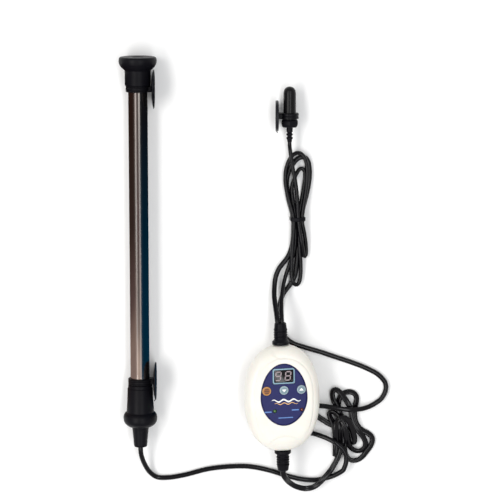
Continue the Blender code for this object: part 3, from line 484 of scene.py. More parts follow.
# The mains lead, flat twin cord 5.6 by 3.4 mm: bottom gland, bundle tied round with its own
# cord, under the case, plug.
MAINS_OUT = [
    (64.2, -205.6, 29.0), (64.3, -208.7, 28.8), (64.5, -211.6, 28.1), (66.6, -216.5, 24.6),
    (71.0, -223.0, 17.6), (78.0, -228.8, 11.6), (86.8, -231.6, 8.8), (94.6, -230.4, 8.4),
    (100.8, -226.2, 8.8), (106.4, -220.4, 8.0), (111.4, -215.0, 5.6), (115.2, -210.6, 3.4)]
MAINS_TURNS = [
    (118.3, -205.0, 2.4), (121.2, -199.5, 2.2), (122.8, -194.2, 2.0), (123.3, -188.0, 2.0),
    (123.3, -180.6, 2.2), (123.0, -173.5, 3.6), (122.6, -167.5, 5.0), (121.7, -160.8, 4.6),
    (120.3, -154.0, 3.0), (119.7, -147.4, 2.4), (119.6, -141.7, 2.2), (120.8, -136.2, 2.2),
    (124.2, -132.7, 2.2), (128.9, -131.1, 2.2), (134.0, -131.1, 2.0), (138.4, -132.9, 2.0),
    (140.4, -137.0, 2.0), (139.5, -142.2, 2.0), (137.0, -147.5, 2.0), (135.9, -153.7, 2.0),
    (136.0, -159.9, 2.0), (137.6, -166.4, 2.0), (140.8, -171.6, 1.9), (144.9, -173.9, 1.9),
    (149.4, -174.6, 1.9), (155.0, -176.6, 1.9), (157.4, -180.6, 1.9), (156.2, -185.4, 1.9),
    (153.0, -190.8, 1.9), (148.6, -195.0, 1.9), (145.6, -201.2, 1.9), (140.6, -205.0, 1.9),
    (135.2, -206.2, 1.9), (130.2, -204.6, 2.0), (127.5, -199.8, 2.4), (126.2, -193.8, 3.6),
    (125.7, -186.4, 4.2), (125.6, -177.9, 4.8), (125.4, -169.4, 5.6), (124.3, -161.1, 5.8),
    (121.4, -153.2, 5.4), (118.2, -147.1, 5.0), (114.8, -141.2, 4.8), (112.9, -135.4, 4.6),
    (112.4, -130.0, 4.5), (115.0, -126.7, 4.6), (118.8, -127.8, 5.2), (122.4, -131.6, 6.0),
    (126.4, -138.4, 6.2), (130.2, -143.3, 5.6), (132.8, -148.6, 5.2), (133.9, -154.5, 5.6),
    (134.8, -161.0, 6.2), (137.1, -167.5, 6.2), (140.8, -172.8, 5.6), (144.6, -177.3, 5.0),
    (148.6, -182.0, 4.4), (150.2, -187.0, 3.8), (148.0, -192.4, 3.0), (143.2, -196.0, 2.6),
    (138.4, -195.8, 2.4), (134.2, -193.9, 2.6), (131.1, -189.3, 3.4), (128.8, -183.5, 5.0),
    (127.8, -176.4, 6.8), (127.3, -169.3, 8.2), (125.6, -161.9, 8.6), (122.0, -157.1, 7.6),
    (118.1, -153.9, 5.6), (114.6, -151.2, 3.6), (111.6, -149.8, 2.2), (109.2, -151.0, 2.0),
    (108.8, -154.0, 2.2), (110.0, -157.4, 2.8), (112.6, -160.3, 3.8), (115.3, -163.1, 5.0),
    (116.8, -167.2, 6.0), (117.2, -173.5, 6.0), (117.3, -182.1, 4.6), (117.4, -190.9, 3.0),
    (117.5, -200.6, 2.0), (117.6, -203.6, 3.4), (117.4, -200.0, 5.4), (117.4, -189.8, 7.2),
    (117.4, -181.0, 9.0), (117.1, -171.3, 10.4), (116.6, -164.5, 11.0), (116.7, -160.2, 11.2),
    (118.9, -157.1, 11.6), (122.4, -155.3, 12.2), (126.1, -154.8, 12.2), (129.5, -156.9, 11.6),
    (131.8, -161.1, 10.8), (133.4, -166.3, 10.0), (135.3, -171.7, 9.0), (137.1, -177.8, 7.4),
    (138.0, -184.0, 5.6), (137.3, -188.6, 4.4), (134.9, -189.1, 4.0), (133.0, -185.7, 4.4),
    (131.9, -179.3, 5.4), (131.3, -173.1, 5.2), (129.6, -169.2, 3.4), (126.1, -168.0, 2.2),
    (121.6, -169.1, 1.9), (117.0, -169.5, 1.9), (112.3, -167.2, 1.9), (107.9, -164.3, 1.9),
    (103.8, -161.4, 1.9)]
MAINS_END = [
    (99.8, -158.3, 1.9), (95.2, -154.4, 1.9), (91.4, -149.4, 2.2), (87.4, -144.2, 3.6),
    (83.8, -140.2, 5.2), (82.3, -138.9, 5.8), (80.8, -137.6, 6.2)]


def smooth_route(points, spacing):
    """Even points along a centripetal curve through the route's own points."""
    route = np.array(points, float)
    padded = np.vstack([route[0] * 2 - route[1], route, route[-1] * 2 - route[-2]])
    fine = []
    for i in range(1, len(padded) - 2):
        p0, p1, p2, p3 = padded[i - 1:i + 3]
        t1 = max(np.linalg.norm(p1 - p0), 1e-6) ** 0.5
        t2 = t1 + max(np.linalg.norm(p2 - p1), 1e-6) ** 0.5
        t3 = t2 + max(np.linalg.norm(p3 - p2), 1e-6) ** 0.5
        t = (t1 + (t2 - t1) * np.arange(16) / 16)[:, None]
        a1 = p0 * (t1 - t) / t1 + p1 * t / t1
        a2 = p1 * (t2 - t) / (t2 - t1) + p2 * (t - t1) / (t2 - t1)
        a3 = p2 * (t3 - t) / (t3 - t2) + p3 * (t - t2) / (t3 - t2)
        b1 = a1 * (t2 - t) / t2 + a2 * t / t2
        b2 = a2 * (t3 - t) / (t3 - t1) + a3 * (t - t1) / (t3 - t1)
        fine.append(b1 * (t2 - t) / (t2 - t1) + b2 * (t - t1) / (t2 - t1))
    fine = np.vstack([*fine, route[-1:]])
    walked = np.concatenate([[0], np.cumsum(np.linalg.norm(np.diff(fine, axis=0), axis=1))])
    count = max(2, int(round(walked[-1] / spacing)))
    at = np.linspace(0, walked[-1], count + 1)
    return np.column_stack([np.interp(at, walked, fine[:, k]) for k in range(3)])


def length_of(points):
    return float(np.linalg.norm(np.diff(points, axis=0), axis=1).sum())


HANK_BOX = (61.0, 97.0, -30.0, 115.0)
BUNDLE_BOX = (101.0, 162.0, -212.0, -122.0)
TIE_Y, TIE_X = 44.5, 78.2


def inside(points, box):
    return ((points[:, 0] > box[0]) & (points[:, 0] < box[1])
            & (points[:, 1] > box[2]) & (points[:, 1] < box[3]))


def settle(cords, rounds=260):
    """Pushes overlapping stretches of the leads apart, keeps them on the table and lets them
    rest on each other, while each holds to the line it was laid along."""
    points = np.vstack([c["points"] for c in cords])
    home = points.copy()
    radius = np.concatenate([np.full(len(c["points"]), c["radius"]) for c in cords])
    owner = np.concatenate([np.full(len(c["points"]), k) for k, c in enumerate(cords)])
    index = np.concatenate([np.arange(len(c["points"])) for c in cords])
    free = (inside(points, HANK_BOX) | inside(points, BUNDLE_BOX)).astype(float)
    for k, c in enumerate(cords):
        mine = owner == k
        soft = np.convolve(free[mine], np.ones(9) / 9, "same")
        ends = np.minimum(np.arange(mine.sum()), np.arange(mine.sum())[::-1])
        free[mine] = np.where(free[mine] > 0, soft, 0) * (ends > 3)
    step = cords[0]["spacing"]
    joined = (owner[1:] == owner[:-1])
    both = joined[1:] & joined[:-1]
    for turn in range(rounds):
        delta = points[:, None, :] - points[None, :, :]
        far = np.sqrt((delta ** 2).sum(-1) + 1e-9)
        need = radius[:, None] + radius[None, :]
        near = (owner[:, None] == owner[None, :]) & (
            np.abs(index[:, None] - index[None, :]) * step < 2.2 * need)
        over = np.where(near, 0.0, np.clip(need - far, 0, None))
        push = delta / far[..., None]
        push[..., 2] *= 1.35
        push[..., :2] *= 0.65
        move = (over[..., None] * push).sum(1)
        hits = (over > 0).sum(1)
        move /= np.maximum(hits, 1)[:, None] ** 0.6
        points += 0.55 * move * free[:, None]
        # its own line, its weight, and its stiffness
        pull = (home - points) * np.array([0.06, 0.06, 0.015])
        points += pull * free[:, None]
        if turn < rounds - 30:
            points[:, 2] -= 0.03 * free
        bend = np.zeros_like(points)
        inner = np.where(both)[0] + 1
        bend[inner] = (points[inner - 1] + points[inner + 1]) / 2 - points[inner]
        points += 0.35 * bend * free[:, None]
        # the tie holds them all in
        held = (np.abs(points[:, 1] - TIE_Y) < 5.0) & (np.abs(points[:, 0] - TIE_X) < 14)
        points[held, 0] = np.clip(points[held, 0], TIE_X - 6.9 + radius[held],
                                  TIE_X + 6.9 - radius[held])
        points[:, 2] = np.maximum(points[:, 2], np.where(free > 0, radius + 0.05, -1e9))
    place, made = 0, []
    for c in cords:
        made.append(points[place:place + len(c["points"])])
        place += len(c["points"])
    return made


def frames_along(points, roll=None):
    """Side and up vectors along a line: side lies flat as far as it can."""
    tangent = np.gradient(points, axis=0)
    tangent /= np.linalg.norm(tangent, axis=1)[:, None]
    side = np.cross(tangent, np.array([0.0, 0.0, 1.0]))
    length = np.linalg.norm(side, axis=1)
    for i in range(len(side)):
        if length[i] < 0.15:
            side[i] = side[i - 1] if i else np.array([1.0, 0, 0])
    kernel = np.ones(7) / 7
    for k in range(3):
        side[:, k] = np.convolve(np.pad(side[:, k], 3, "edge"), kernel, "valid")
    side -= tangent * (side * tangent).sum(1)[:, None]
    side /= np.linalg.norm(side, axis=1)[:, None]
    up = np.cross(side, tangent)
    if roll is not None:
        c, s = np.cos(roll)[:, None], np.sin(roll)[:, None]
        side, up = side * c + up * s, up * c - side * s
    return side, up


def tube(points, section, roll=None):
    """A closed tube along a line, its ends closed flat; section is the outline across it."""
    side, up = frames_along(points, roll)
    bm = bmesh.new()
    rings = []
    last = len(points) - 1
    for i, p in enumerate(points):
        rings.append([bm.verts.new(p + side[i] * x + up[i] * y) for x, y in section])
    for low, high in zip(rings, rings[1:]):
        for i in range(len(section)):
            j = (i + 1) % len(section)
            bm.faces.new((low[i], low[j], high[j], high[i]))
    for ring, spot in ((rings[0], points[0]), (rings[last], points[last])):
        middle = bm.verts.new(spot)
        for i in range(len(section)):
            bm.faces.new((middle, ring[i], ring[(i + 1) % len(section)]))
    return bm


def round_section(radius, count=18):
    return [(radius * math.cos(2 * math.pi * i / count), radius * math.sin(2 * math.pi * i / count))
            for i in range(count)]


def flat_section(width=5.6, height=3.4, count=28):
    """Twin cord: two cores side by side, a shallow valley between them on each face."""
    made = []
    for i in range(count):
        t = 2 * math.pi * i / count
        c, s = math.cos(t), math.sin(t)
        x = width / 2 * math.copysign(abs(c) ** 0.85, c)
        y = height / 2 * math.copysign(abs(s) ** 0.62, s)
        y *= 1 - 0.24 * math.exp(-(x / 0.75) ** 2)
        made.append((x, y))
    return made


STEP = 3.0
laid = [
    {"points": smooth_route(HEATER_OUT + HEATER_TURNS + HEATER_IN, STEP), "radius": 2.5, "spacing": STEP},
    {"points": smooth_route(SENSOR_OUT + SENSOR_TURNS + SENSOR_IN, STEP), "radius": 2.0, "spacing": STEP},
    {"points": smooth_route(MAINS_OUT + MAINS_TURNS + MAINS_END, STEP), "radius": 2.15, "spacing": STEP},
]
settled = settle(laid)
heater_line, sensor_line, mains_line = (smooth_route(p, 1.6) for p in settled)


def roll_of(points):
    """The flat lead lies flat where it runs straight and stands on edge where it turns sharply."""
    tangent = np.gradient(points, axis=0)
    tangent /= np.linalg.norm(tangent, axis=1)[:, None]
    turn = np.zeros(len(points))
    for i in range(4, len(points) - 4):
        a, b = tangent[i - 4, :2], tangent[i + 4, :2]
        na, nb = np.linalg.norm(a), np.linalg.norm(b)
        if na > 0.2 and nb > 0.2:
            turn[i] = math.degrees(math.acos(max(-1, min(1, float(a @ b) / na / nb))))
    wide = np.convolve(np.pad(turn, 6, "edge"), np.ones(13) / 13, "valid")
    target = np.clip((wide - 12) / 34, 0, 1)
    target = np.convolve(np.pad(target, 5, "edge"), np.ones(11) / 11, "valid")
    return np.radians(38) * target


ROLL = roll_of(mains_line)
mains_up = mains_line.copy()
mains_up[:, 2] = np.maximum(mains_up[:, 2], 1.75 + 1.3 * np.sin(ROLL))

heater_lead = show("heater_lead", tube(heater_line, round_section(2.5)), FLAT, "jacket", "frame",
                   ["heater_lead_1", "heater_lead_2", "cord_hank"], 60)
sensor_lead = show("sensor_lead", tube(sensor_line, round_section(2.0)), FLAT, "jacket", "frame",
                   ["sensor_lead_1", "sensor_lead_2"], 60)
mains_lead = show("mains_lead", tube(mains_up, flat_section(), ROLL), FLAT, "mains", "frame",
                  ["mains_lead_1", "mains_lead_2", "mains_bundle"], 60)
print("leads, mm:", round(length_of(heater_line)), round(length_of(sensor_line)),
      round(length_of(mains_up)))


# ---------------------------------------------------------------- plug
def plug_body():
    half = 15.75
    sections = []
    for x, w, t in [(-half - 9.6, 3.5, 2.3), (-half - 9.2, 3.7, 2.6), (-half - 7.4, 3.8, 2.7),
                    (-half - 7.0, 3.3, 2.3), (-half - 6.2, 3.3, 2.3), (-half - 5.8, 4.0, 3.0),
                    (-half - 4.2, 4.1, 3.1), (-half - 3.8, 3.6, 2.6), (-half - 3.0, 3.6, 2.6),
                    (-half - 2.6, 4.4, 3.5), (-half - 0.6, 4.9, 4.1), (-half + 0.4, 6.4, 5.0),
                    (-half + 2.4, 8.6, 5.9), (-half + 5.0, 9.7, 6.3), (-half + 9.0, 10.6, 6.45),
                    (-half + 14.0, 11.0, 6.5), (half - 2.0, 11.0, 6.5), (half - 0.7, 10.8, 6.35),
                    (half - 0.1, 10.3, 5.9)]:
        sections.append([(x, y, z) for y, z in superellipse(w, t, 48, 3.2)])
    return lofted(sections)


plug = show("plug_moulding", plug_body(), PLUG, "black", "frame", ["plug_body"], 30)
for low in (-3.0, 0.6, 4.2):
    for up in (1, -1):
        carve(plug, prism(rounded_rect(0.75, 7.4, 0.7, low, 0.0), 6.0 * up - 0.25, 6.0 * up + 1.2)
              if up > 0 else prism(rounded_rect(0.75, 7.4, 0.7, low, 0.0), -7.2, -5.75), PLUG)

# ================================================================ heater
RUN = 0.3
BORE = 9.5 + RUN

show("titanium_sheath", turned(softened([
    (0, 192.0), (6.5, 192.0), (8.6, 191.1), (9.5, 189.0), (9.5, -146.0), (8.7, -146.0),
    (8.7, 188.6), (7.9, 190.2), (6.1, 191.0), (0, 191.0)], 0.5), 128), HEATER, "titanium",
    "frame", ["titanium_tube"])


def dimpled(radius, height, t):
    """The cap's guard flange has a row of small moulded dimples round its rim."""
    if 199.0 < height < 205.5 and radius > 16.5:
        radius -= 0.22 * max(0.0, math.cos(12 * t)) ** 4 * math.cos((height - 202.2) * 0.5)
    return radius, height


show("guard_cap", turned(softened([
    (0, 206.2), (5.4, 206.2), (6.0, 206.6), (13.4, 206.95), (17.3, 206.75), (18.45, 205.4),
    (18.8, 202.6), (18.3, 199.8), (16.6, 196.9), (14.2, 194.7), (13.0, 193.9), (12.75, 193.0),
    (12.8, 179.3), (12.5, 178.62), (BORE, 178.62), (BORE, 183.4), (11.5, 183.4), (11.5, 186.0),
    (BORE, 186.0), (BORE, 190.6), (7.0, 192.5), (0, 192.5)], 0.8, 5), 144, wobble=dimpled),
    HEATER, "rubber", "frame", ["top_end_cap"])

show("lead_end_cap", turned(softened([
    (BORE, -121.0), (11.5, -121.0), (12.0, -121.5), (12.0, -124.4), (12.6, -124.9), (12.85, -134.0),
    (13.3, -142.0), (13.75, -149.4), (15.4, -150.2), (16.6, -152.4), (16.95, -155.0),
    (16.8, -157.6), (15.9, -160.2), (13.7, -162.5), (11.4, -164.0), (7.4, -164.0), (7.4, -155.6), (3.4, -155.6),
    (3.4, -148.0), (BORE, -146.5), (BORE, -131.4), (11.4, -131.4), (11.4, -128.8),
    (BORE, -128.8)], 0.7, 4), 128, loop=True), HEATER, "rubber", "frame",
    ["bottom_end_cap"])

show("lead_boot", turned(softened([
    (0, -156.0), (7.0, -156.0), (7.0, -164.3), (8.5, -164.3), (8.5, -165.2), (8.1, -167.4),
    (7.6, -172.4), (7.05, -178.6), (6.7, -183.4), (6.1, -185.0), (3.1, -185.0), (3.0, -184.6),
    (3.0, -181.0), (0, -181.0)], 0.5, 4), 96), HEATER, "rubber", "frame",
    ["cable_boot"])


# ---------------------------------------------------------------- clips and suction cups
def ring_clip(name, where, matrix0, axis_r, ring_r, ring_h, hub, pocket_r, neck_r, wall, side,
              body, node_name, grooves):
    """A rubber ring round the tube, with a hub that holds the cup's stud."""
    bore = axis_r + RUN
    half = ring_h / 2
    outer = [(bore, -half), (ring_r - 0.5, -half), (ring_r, -half + 0.6)]
    for g in grooves:
        outer += [(ring_r, g - 0.55), (ring_r - 0.55, g), (ring_r, g + 0.55)]
    outer += [(ring_r, half - 0.6), (ring_r - 0.5, half), (bore, half)]
    made = show(name, turned(softened(outer, 0.35, 4), 96, loop=True), matrix0 @ Matrix.Translation(
        (0, where, 0)) @ UP_Y, "ring_rubber", body, [node_name], 40)
    flip = Matrix.Rotation(math.radians(90 * side), 4, "Y")
    here = matrix0 @ Matrix.Translation((0, where, 0))
    carve(made, prism(rounded_rect(4.9, half - 0.05, 1.4), bore + 0.6, hub), here @ flip, "UNION")
    carve(made, turned([(0, axis_r - 2), (pocket_r, axis_r - 2), (pocket_r, hub - wall),
                        (0, hub - wall)], 40), here @ flip)
    carve(made, turned([(0, axis_r), (neck_r, axis_r), (neck_r, hub + 2), (0, hub + 2)], 40),
          here @ flip)
    return made


def cup(name, where, matrix0, cup_r, face, hub, wall, stud_r, neck_r, axis_r, side, body,
        node_name, tab, rim=1.15, reach=1.6, droop=1.3):
    """A suction cup: snap stud, thin conical shell with a rolled lip, and its pull tab."""
    back = hub + RUN
    profile = softened([
        (0, axis_r + 0.6), (stud_r, axis_r + 0.6), (stud_r, hub - wall - RUN),
        (neck_r, hub - wall - RUN), (neck_r, back), (cup_r * 0.22, back + 0.05),
        (cup_r * 0.55, back + 0.35), (cup_r * 0.80, min(back + 0.95, face - rim - 0.25)),
        (cup_r * 0.97, face - rim), (cup_r, face - rim + 0.4), (cup_r - 0.05, face - 0.1),
        (cup_r - 0.7, face), (cup_r - 1.6, face - 0.25), (cup_r * 0.75, face - 0.75),
        (cup_r * 0.5, face - 1.1), (0, face - 1.25)], 0.35, 4)
    flip = Matrix.Rotation(math.radians(90 * side), 4, "Y")
    here = matrix0 @ Matrix.Translation((0, where, 0))
    made = show(name, turned(profile, 128), here @ flip, "cup", body, [node_name], 40)
    # pull tab: a short tongue from the lip, leaning back towards the tube
    tongue = []
    for k, (out, height, wide, thick) in enumerate([
            (cup_r - 2.2, face - 0.85, 2.5, 0.42), (cup_r - 0.4, face - 0.9, 2.5, 0.42),
            (cup_r + 0.4 * reach, face - 0.9 - 0.35 * droop, 2.3, 0.42),
            (cup_r + 0.8 * reach, face - 0.9 - 0.80 * droop, 1.9, 0.40),
            (cup_r + reach, face - 0.9 - droop, 0.9, 0.3)]):
        lean = min(1.0, k / 3.0) * 0.75
        ring = []
        for x, z in superellipse(wide, thick, 24, 2.6):
            ring.append((x, -(out + z * math.sin(lean)), height + z * math.cos(lean)))
        tongue.append(ring)
    turn = Matrix.Rotation(math.radians(tab), 4, "Z")
    carve(made, lofted(tongue), here @ flip @ turn, "UNION")
    return made


ring_clip("upper_ring", 175.4, HEATER0, 9.5, 12.0, 6.0, 12.9, 2.6, 1.6, 1.2, 1, "upper_clip",
          "upper_clip_ring", (-1.3, 1.3))
ring_clip("lower_ring", -117.7, HEATER0, 9.5, 12.0, 6.0, 12.9, 2.6, 1.6, 1.2, 1, "lower_clip",
          "lower_clip_ring", (-1.3, 1.3))
cup("upper_cup_shell", 175.4, HEATER0, 19.0, 16.1, 12.9, 1.2, 2.3, 1.3, 9.5, 1, "upper_cup",
    "upper_suction_cup", 0, reach=0.4, droop=0.15)
cup("lower_cup_shell", -117.7, HEATER0, 19.0, 16.1, 12.9, 1.2, 2.3, 1.3, 9.5, 1, "lower_cup",
    "lower_suction_cup", 0)

# ================================================================ sensor
show("probe_shell", turned(softened([
    (0, 177.4), (2.4, 177.0), (4.4, 175.7), (5.7, 173.6), (6.15, 171.2), (6.2, 169.0),
    (6.2, 139.6), (5.2, 139.6), (5.2, 171.2), (3.4, 174.8), (0, 176.0)], 0.8, 4), 96), SENSOR,
    "probe", "frame", ["sensor_shell"])


def nutted(radius, height, t):
    """The collar is a soft six-sided nut."""
    if radius > 6.55:
        sector = (t + math.pi / 6) % (math.pi / 3) - math.pi / 6
        radius *= 1 - 0.085 * (1 - math.cos(math.pi / 6) / max(math.cos(sector), 0.8)) / (1 - math.cos(math.pi / 6))
    return radius, height


show("probe_collar", turned(softened([
    (6.5, 144.8), (7.6, 144.8), (8.4, 144.2), (8.9, 143.0), (8.9, 140.2), (8.1, 138.0),
    (7.2, 137.2), (3.4, 137.2), (3.4, 138.4), (6.5, 139.2)], 0.5, 4), 120, loop=True,
    wobble=nutted), SENSOR, "rubber", "frame", ["sensor_collar"])

relief = [(0, 141.8), (3.0, 141.8), (3.0, 136.9), (3.1, 136.7), (3.1, 132.6), (2.3, 132.0),
          (2.3, 131.2), (3.3, 130.6), (3.3, 129.4), (2.2, 128.8), (2.2, 127.8), (3.2, 127.2),
          (3.2, 126.0), (2.9, 125.4), (2.4, 124.9), (2.35, 123.0), (2.12, 122.8), (2.08, 123.0), (2.08, 125.4),
          (0, 125.4)]
show("probe_relief", turned(softened(relief, 0.3, 3), 64), SENSOR, "rubber", "frame",
     ["sensor_boot"])
ring_clip("probe_ring", 148.4, SENSOR0, 6.2, 9.0, 5.8, 10.4, 2.4, 1.4, 1.1, -1, "sensor_clip",
          "sensor_clip_ring", (0.0,))
cup("probe_cup_shell", 148.4, SENSOR0, 15.2, 13.9, 10.4, 1.1, 2.1, 1.1, 6.2, -1, "sensor_cup",
    "sensor_suction_cup", 0, 3.0)

# ================================================================ thermostat
A, B, E = 37.7, 54.0, 2.25
LABEL = (2.4, 23.5, 34.9, 29.1)


def egg(grow=0.0, count=160, cy=2.4, wide=23.4, up=34.9, down=27.9):
    made = []
    for i in range(count):
        t = 2 * math.pi * i / count
        c, s = math.cos(t), math.sin(t)
        power = 2.0 if s > 0 else 1.9
        reach = (up if s > 0 else down) + grow
        made.append((math.copysign(abs(c) ** (2 / power), c) * (wide + grow),
                     cy + math.copysign(abs(s) ** (2 / power), s) * reach))
    return made


def step(value, low, high):
    t = min(1.0, max(0.0, (value - low) / (high - low)))
    return t * t * (3 - 2 * t)


def spine(levels, t):
    """(scale, height) along a smooth curve through the shell's levels."""
    t = t * (len(levels) - 1)
    i = min(int(t), len(levels) - 2)
    f = t - i
    p = [levels[max(0, min(len(levels) - 1, k))] for k in (i - 1, i, i + 1, i + 2)]
    return tuple(0.5 * (2 * p[1][k] + (p[2][k] - p[0][k]) * f
                        + (2 * p[0][k] - 5 * p[1][k] + 4 * p[2][k] - p[3][k]) * f * f
                        + (3 * p[1][k] - p[0][k] - 3 * p[2][k] + p[3][k]) * f ** 3)
                 for k in (0, 1))


FRONT = [(1.0, 0.15), (0.9985, 1.6), (0.995, 3.6), (0.985, 6.0), (0.967, 8.4), (0.938, 10.6),
         (0.898, 12.5), (0.85, 13.85), (0.79, 14.6), (0.70, 14.95), (0.55, 15.0), (0.35, 15.0),
         (0.15, 15.0), (0.0, 15.0)]


def front_relief(x, y, z):
    """Height changes of the front: the raised field round the label, and the eased ends."""
    # the raised field: an egg, open below, that stands 0.6 mm above the pillow round it
    cy, wide, up, down = 6.0, 29.6, 36.6, 50.0
    s = y - cy
    reach = up if s > 0 else down
    power = 2.15 if s > 0 else 2.9
    r = (abs(x / wide) ** power + abs(s / reach) ** power) ** (1 / power)
    edge = (r - 1.0) * wide
    drop = 0.75 * step(edge, -0.7, 0.9)
    drop += 0.50 * math.exp(-(edge / 0.62) ** 2) * step(z, 12.0, 13.6)
    drop *= 1 - step(-y, 26.0, 42.0) * 0.85            # it fades out towards the lower end
    # the seat by the upper gland: a shallow U
    top = ((x + 1.0) / 10.5) ** 2 + ((y - 54.0) / 11.5) ** 2
    if y > 38:
        rim = (math.sqrt(top) - 1.0) * 11.0
        drop += 0.40 * (1 - step(rim, -0.8, 0.5)) + 0.45 * math.exp(-(rim / 0.62) ** 2)
    # the lower end: an arched land
    low = ((x - 0.5) / 19.5) ** 2 + ((y + 54.5) / 17.5) ** 2
    if y < -30:
        rim = (math.sqrt(low) - 1.0) * 18.0
        drop += 0.40 * (1 - step(rim, -0.8, 0.5)) + 0.45 * math.exp(-(rim / 0.65) ** 2)
    return z - drop * step(z, 5.0, 10.0)


def shell(levels, inner, rings, count, relief=None, bottom=False):
    """A half case: outer skin from the seam to its middle, inner skin back to the seam."""
    bm = bmesh.new()
    grid = []
    for k in range(rings + 1):
        scale, z = spine(levels, k / rings)
        if k == rings:
            z = levels[-1][1]
            grid.append([bm.verts.new((0, 0, relief(0, 0, z) if relief else z))])
            break
        ring = []
        for x, y in superellipse(A * max(scale, 0.001), B * max(scale, 0.001), count, E):
            ring.append(bm.verts.new((x, y, relief(x, y, z) if relief else z)))
        grid.append(ring)
    back = []
    for scale, z in inner:
        back.append([bm.verts.new((x, y, z)) for x, y in
                     superellipse((A - 2) * scale, (B - 2) * scale, count, E)])

    def bridge(one, two):
        for i in range(count):
            j = (i + 1) % count
            if len(two) == 1:
                bm.faces.new((one[i], one[j], two[0]))
            else:
                bm.faces.new((one[i], one[j], two[j], two[i]))
    for one, two in zip(grid, grid[1:]):
        bridge(one, two)
    for one, two in zip(back, back[1:]):
        bridge(one, two)
    bridge(back[0], grid[0])
    bm.faces.new(back[-1])
    return bm


front = show("front_case", shell(FRONT, [(1.0, 0.15), (0.985, 4.4), (0.95, 8.0), (0.90, 10.6),
                                         (0.80, 12.4)], 84, 192, front_relief),
             CASE, "cream", "frame", ["front_shell"], 50)
carve(front, prism(egg(RUN), 13.9, 17.0), CASE)
carve(front, prism(rounded_rect(11.4, 8.15, 1.6, 0, 24.8), 10.0, 17.0), CASE)
for x in (-17.4, 0.0, 17.4):
    carve(front, turned([(0, 10.0), (4.65, 10.0), (4.65, 17.0), (0, 17.0)], 64),
          CASE @ Matrix.Translation((x, 10.5, 0)))
for x, y in ((-9.5, -10.2), (17.6, -10.1)):
    carve(front, turned([(0, 10.0), (2.1, 10.0), (2.1, 17.0), (0, 17.0)], 40),
          CASE @ Matrix.Translation((x, y, 0)))

BACK = [(1.0, -0.15), (0.997, -1.8), (0.985, -4.4), (0.958, -7.2), (0.918, -9.6), (0.862, -11.7),
        (0.80, -12.75), (0.72, -13.0), (0.5, -13.0), (0.25, -13.0), (0.0, -13.0)]
back = show("back_case", shell(BACK, [(1.0, -0.15), (0.97, -4.4), (0.92, -7.6), (0.86, -9.8),
                                      (0.76, -11.0)], 60, 160), CASE, "cream", "frame",
            ["back_shell"], 50)
for x, y in ((-17, 38), (17, 38), (-17, -38), (17, -38)):
    carve(back, turned([(0, -14.0), (2.9, -14.0), (2.7, -11.2), (1.6, -11.0), (1.6, -5.0),
                        (0, -5.0)], 48), CASE @ Matrix.Translation((x, y, 0)))
for turn in (CASE_UP, CASE_DOWN):
    for half in (front, back):
        carve(half, turned([(0, 44.0), (4.9, 44.0), (4.9, 60.0), (0, 60.0)], 64), turn)

label = show("label_film", prism(egg(), 14.2, 15.1, 0.18), CASE, "navy", "frame",
             ["label_plate"])
carve(label, prism(rounded_rect(11.4, 8.15, 1.6, 0, 24.8), 10.0, 17.0), CASE)
for x in (-17.4, 0.0, 17.4):
    carve(label, turned([(0, 10.0), (4.65, 10.0), (4.65, 17.0), (0, 17.0)], 64),
          CASE @ Matrix.Translation((x, 10.5, 0)))
for x, y in ((-9.5, -10.2), (17.6, -10.1)):
    carve(label, turned([(0, 10.0), (2.0, 10.0), (2.0, 17.0), (0, 17.0)], 40),
          CASE @ Matrix.Translation((x, y, 0)))

field = show("label_field", prism(egg(-1.5), 15.06, 15.13), CASE, "field", "frame")
carve(field, prism(rounded_rect(11.4, 8.15, 1.6, 0, 24.8), 10.0, 17.0), CASE)
for x in (-17.4, 0.0, 17.4):
    carve(field, turned([(0, 10.0), (4.65, 10.0), (4.65, 17.0), (0, 17.0)], 64),
          CASE @ Matrix.Translation((x, 10.5, 0)))
for x, y in ((-9.5, -10.2), (17.6, -10.1)):
    carve(field, turned([(0, 10.0), (2.0, 10.0), (2.0, 17.0), (0, 17.0)], 40),
          CASE @ Matrix.Translation((x, y, 0)))

# display: frame, tinted window, and two seven-segment digits
bezel = show("display_frame", prism(rounded_rect(11.1, 7.75, 2.1, 0, 24.8), 12.7, 15.5, 0.35),
             CASE, "bezel", "frame", ["display_bezel"])
carve(bezel, prism(rounded_rect(9.9, 6.5, 1.2, 0, 24.8), 10.0, 17.0), CASE)
show("display_glass", prism(rounded_rect(9.75, 6.35, 1.1, 0, 24.8), 13.4, 14.9, 0.15), CASE,
     "window", "frame", ["display_window"])


def segment(x, y, length, upright, width=1.12):
    """One bar of a digit, pointed at both ends."""
    h, w = length / 2, width / 2
    shape = [(-h, 0), (-h + w, w), (h - w, w), (h, 0), (h - w, -w), (-h + w, -w)]
    if upright:
        shape = [(-b, a) for a, b in shape]
    lean = math.tan(math.radians(8))
    return [(x + a + (y + b) * lean, y + b) for a, b in shape]


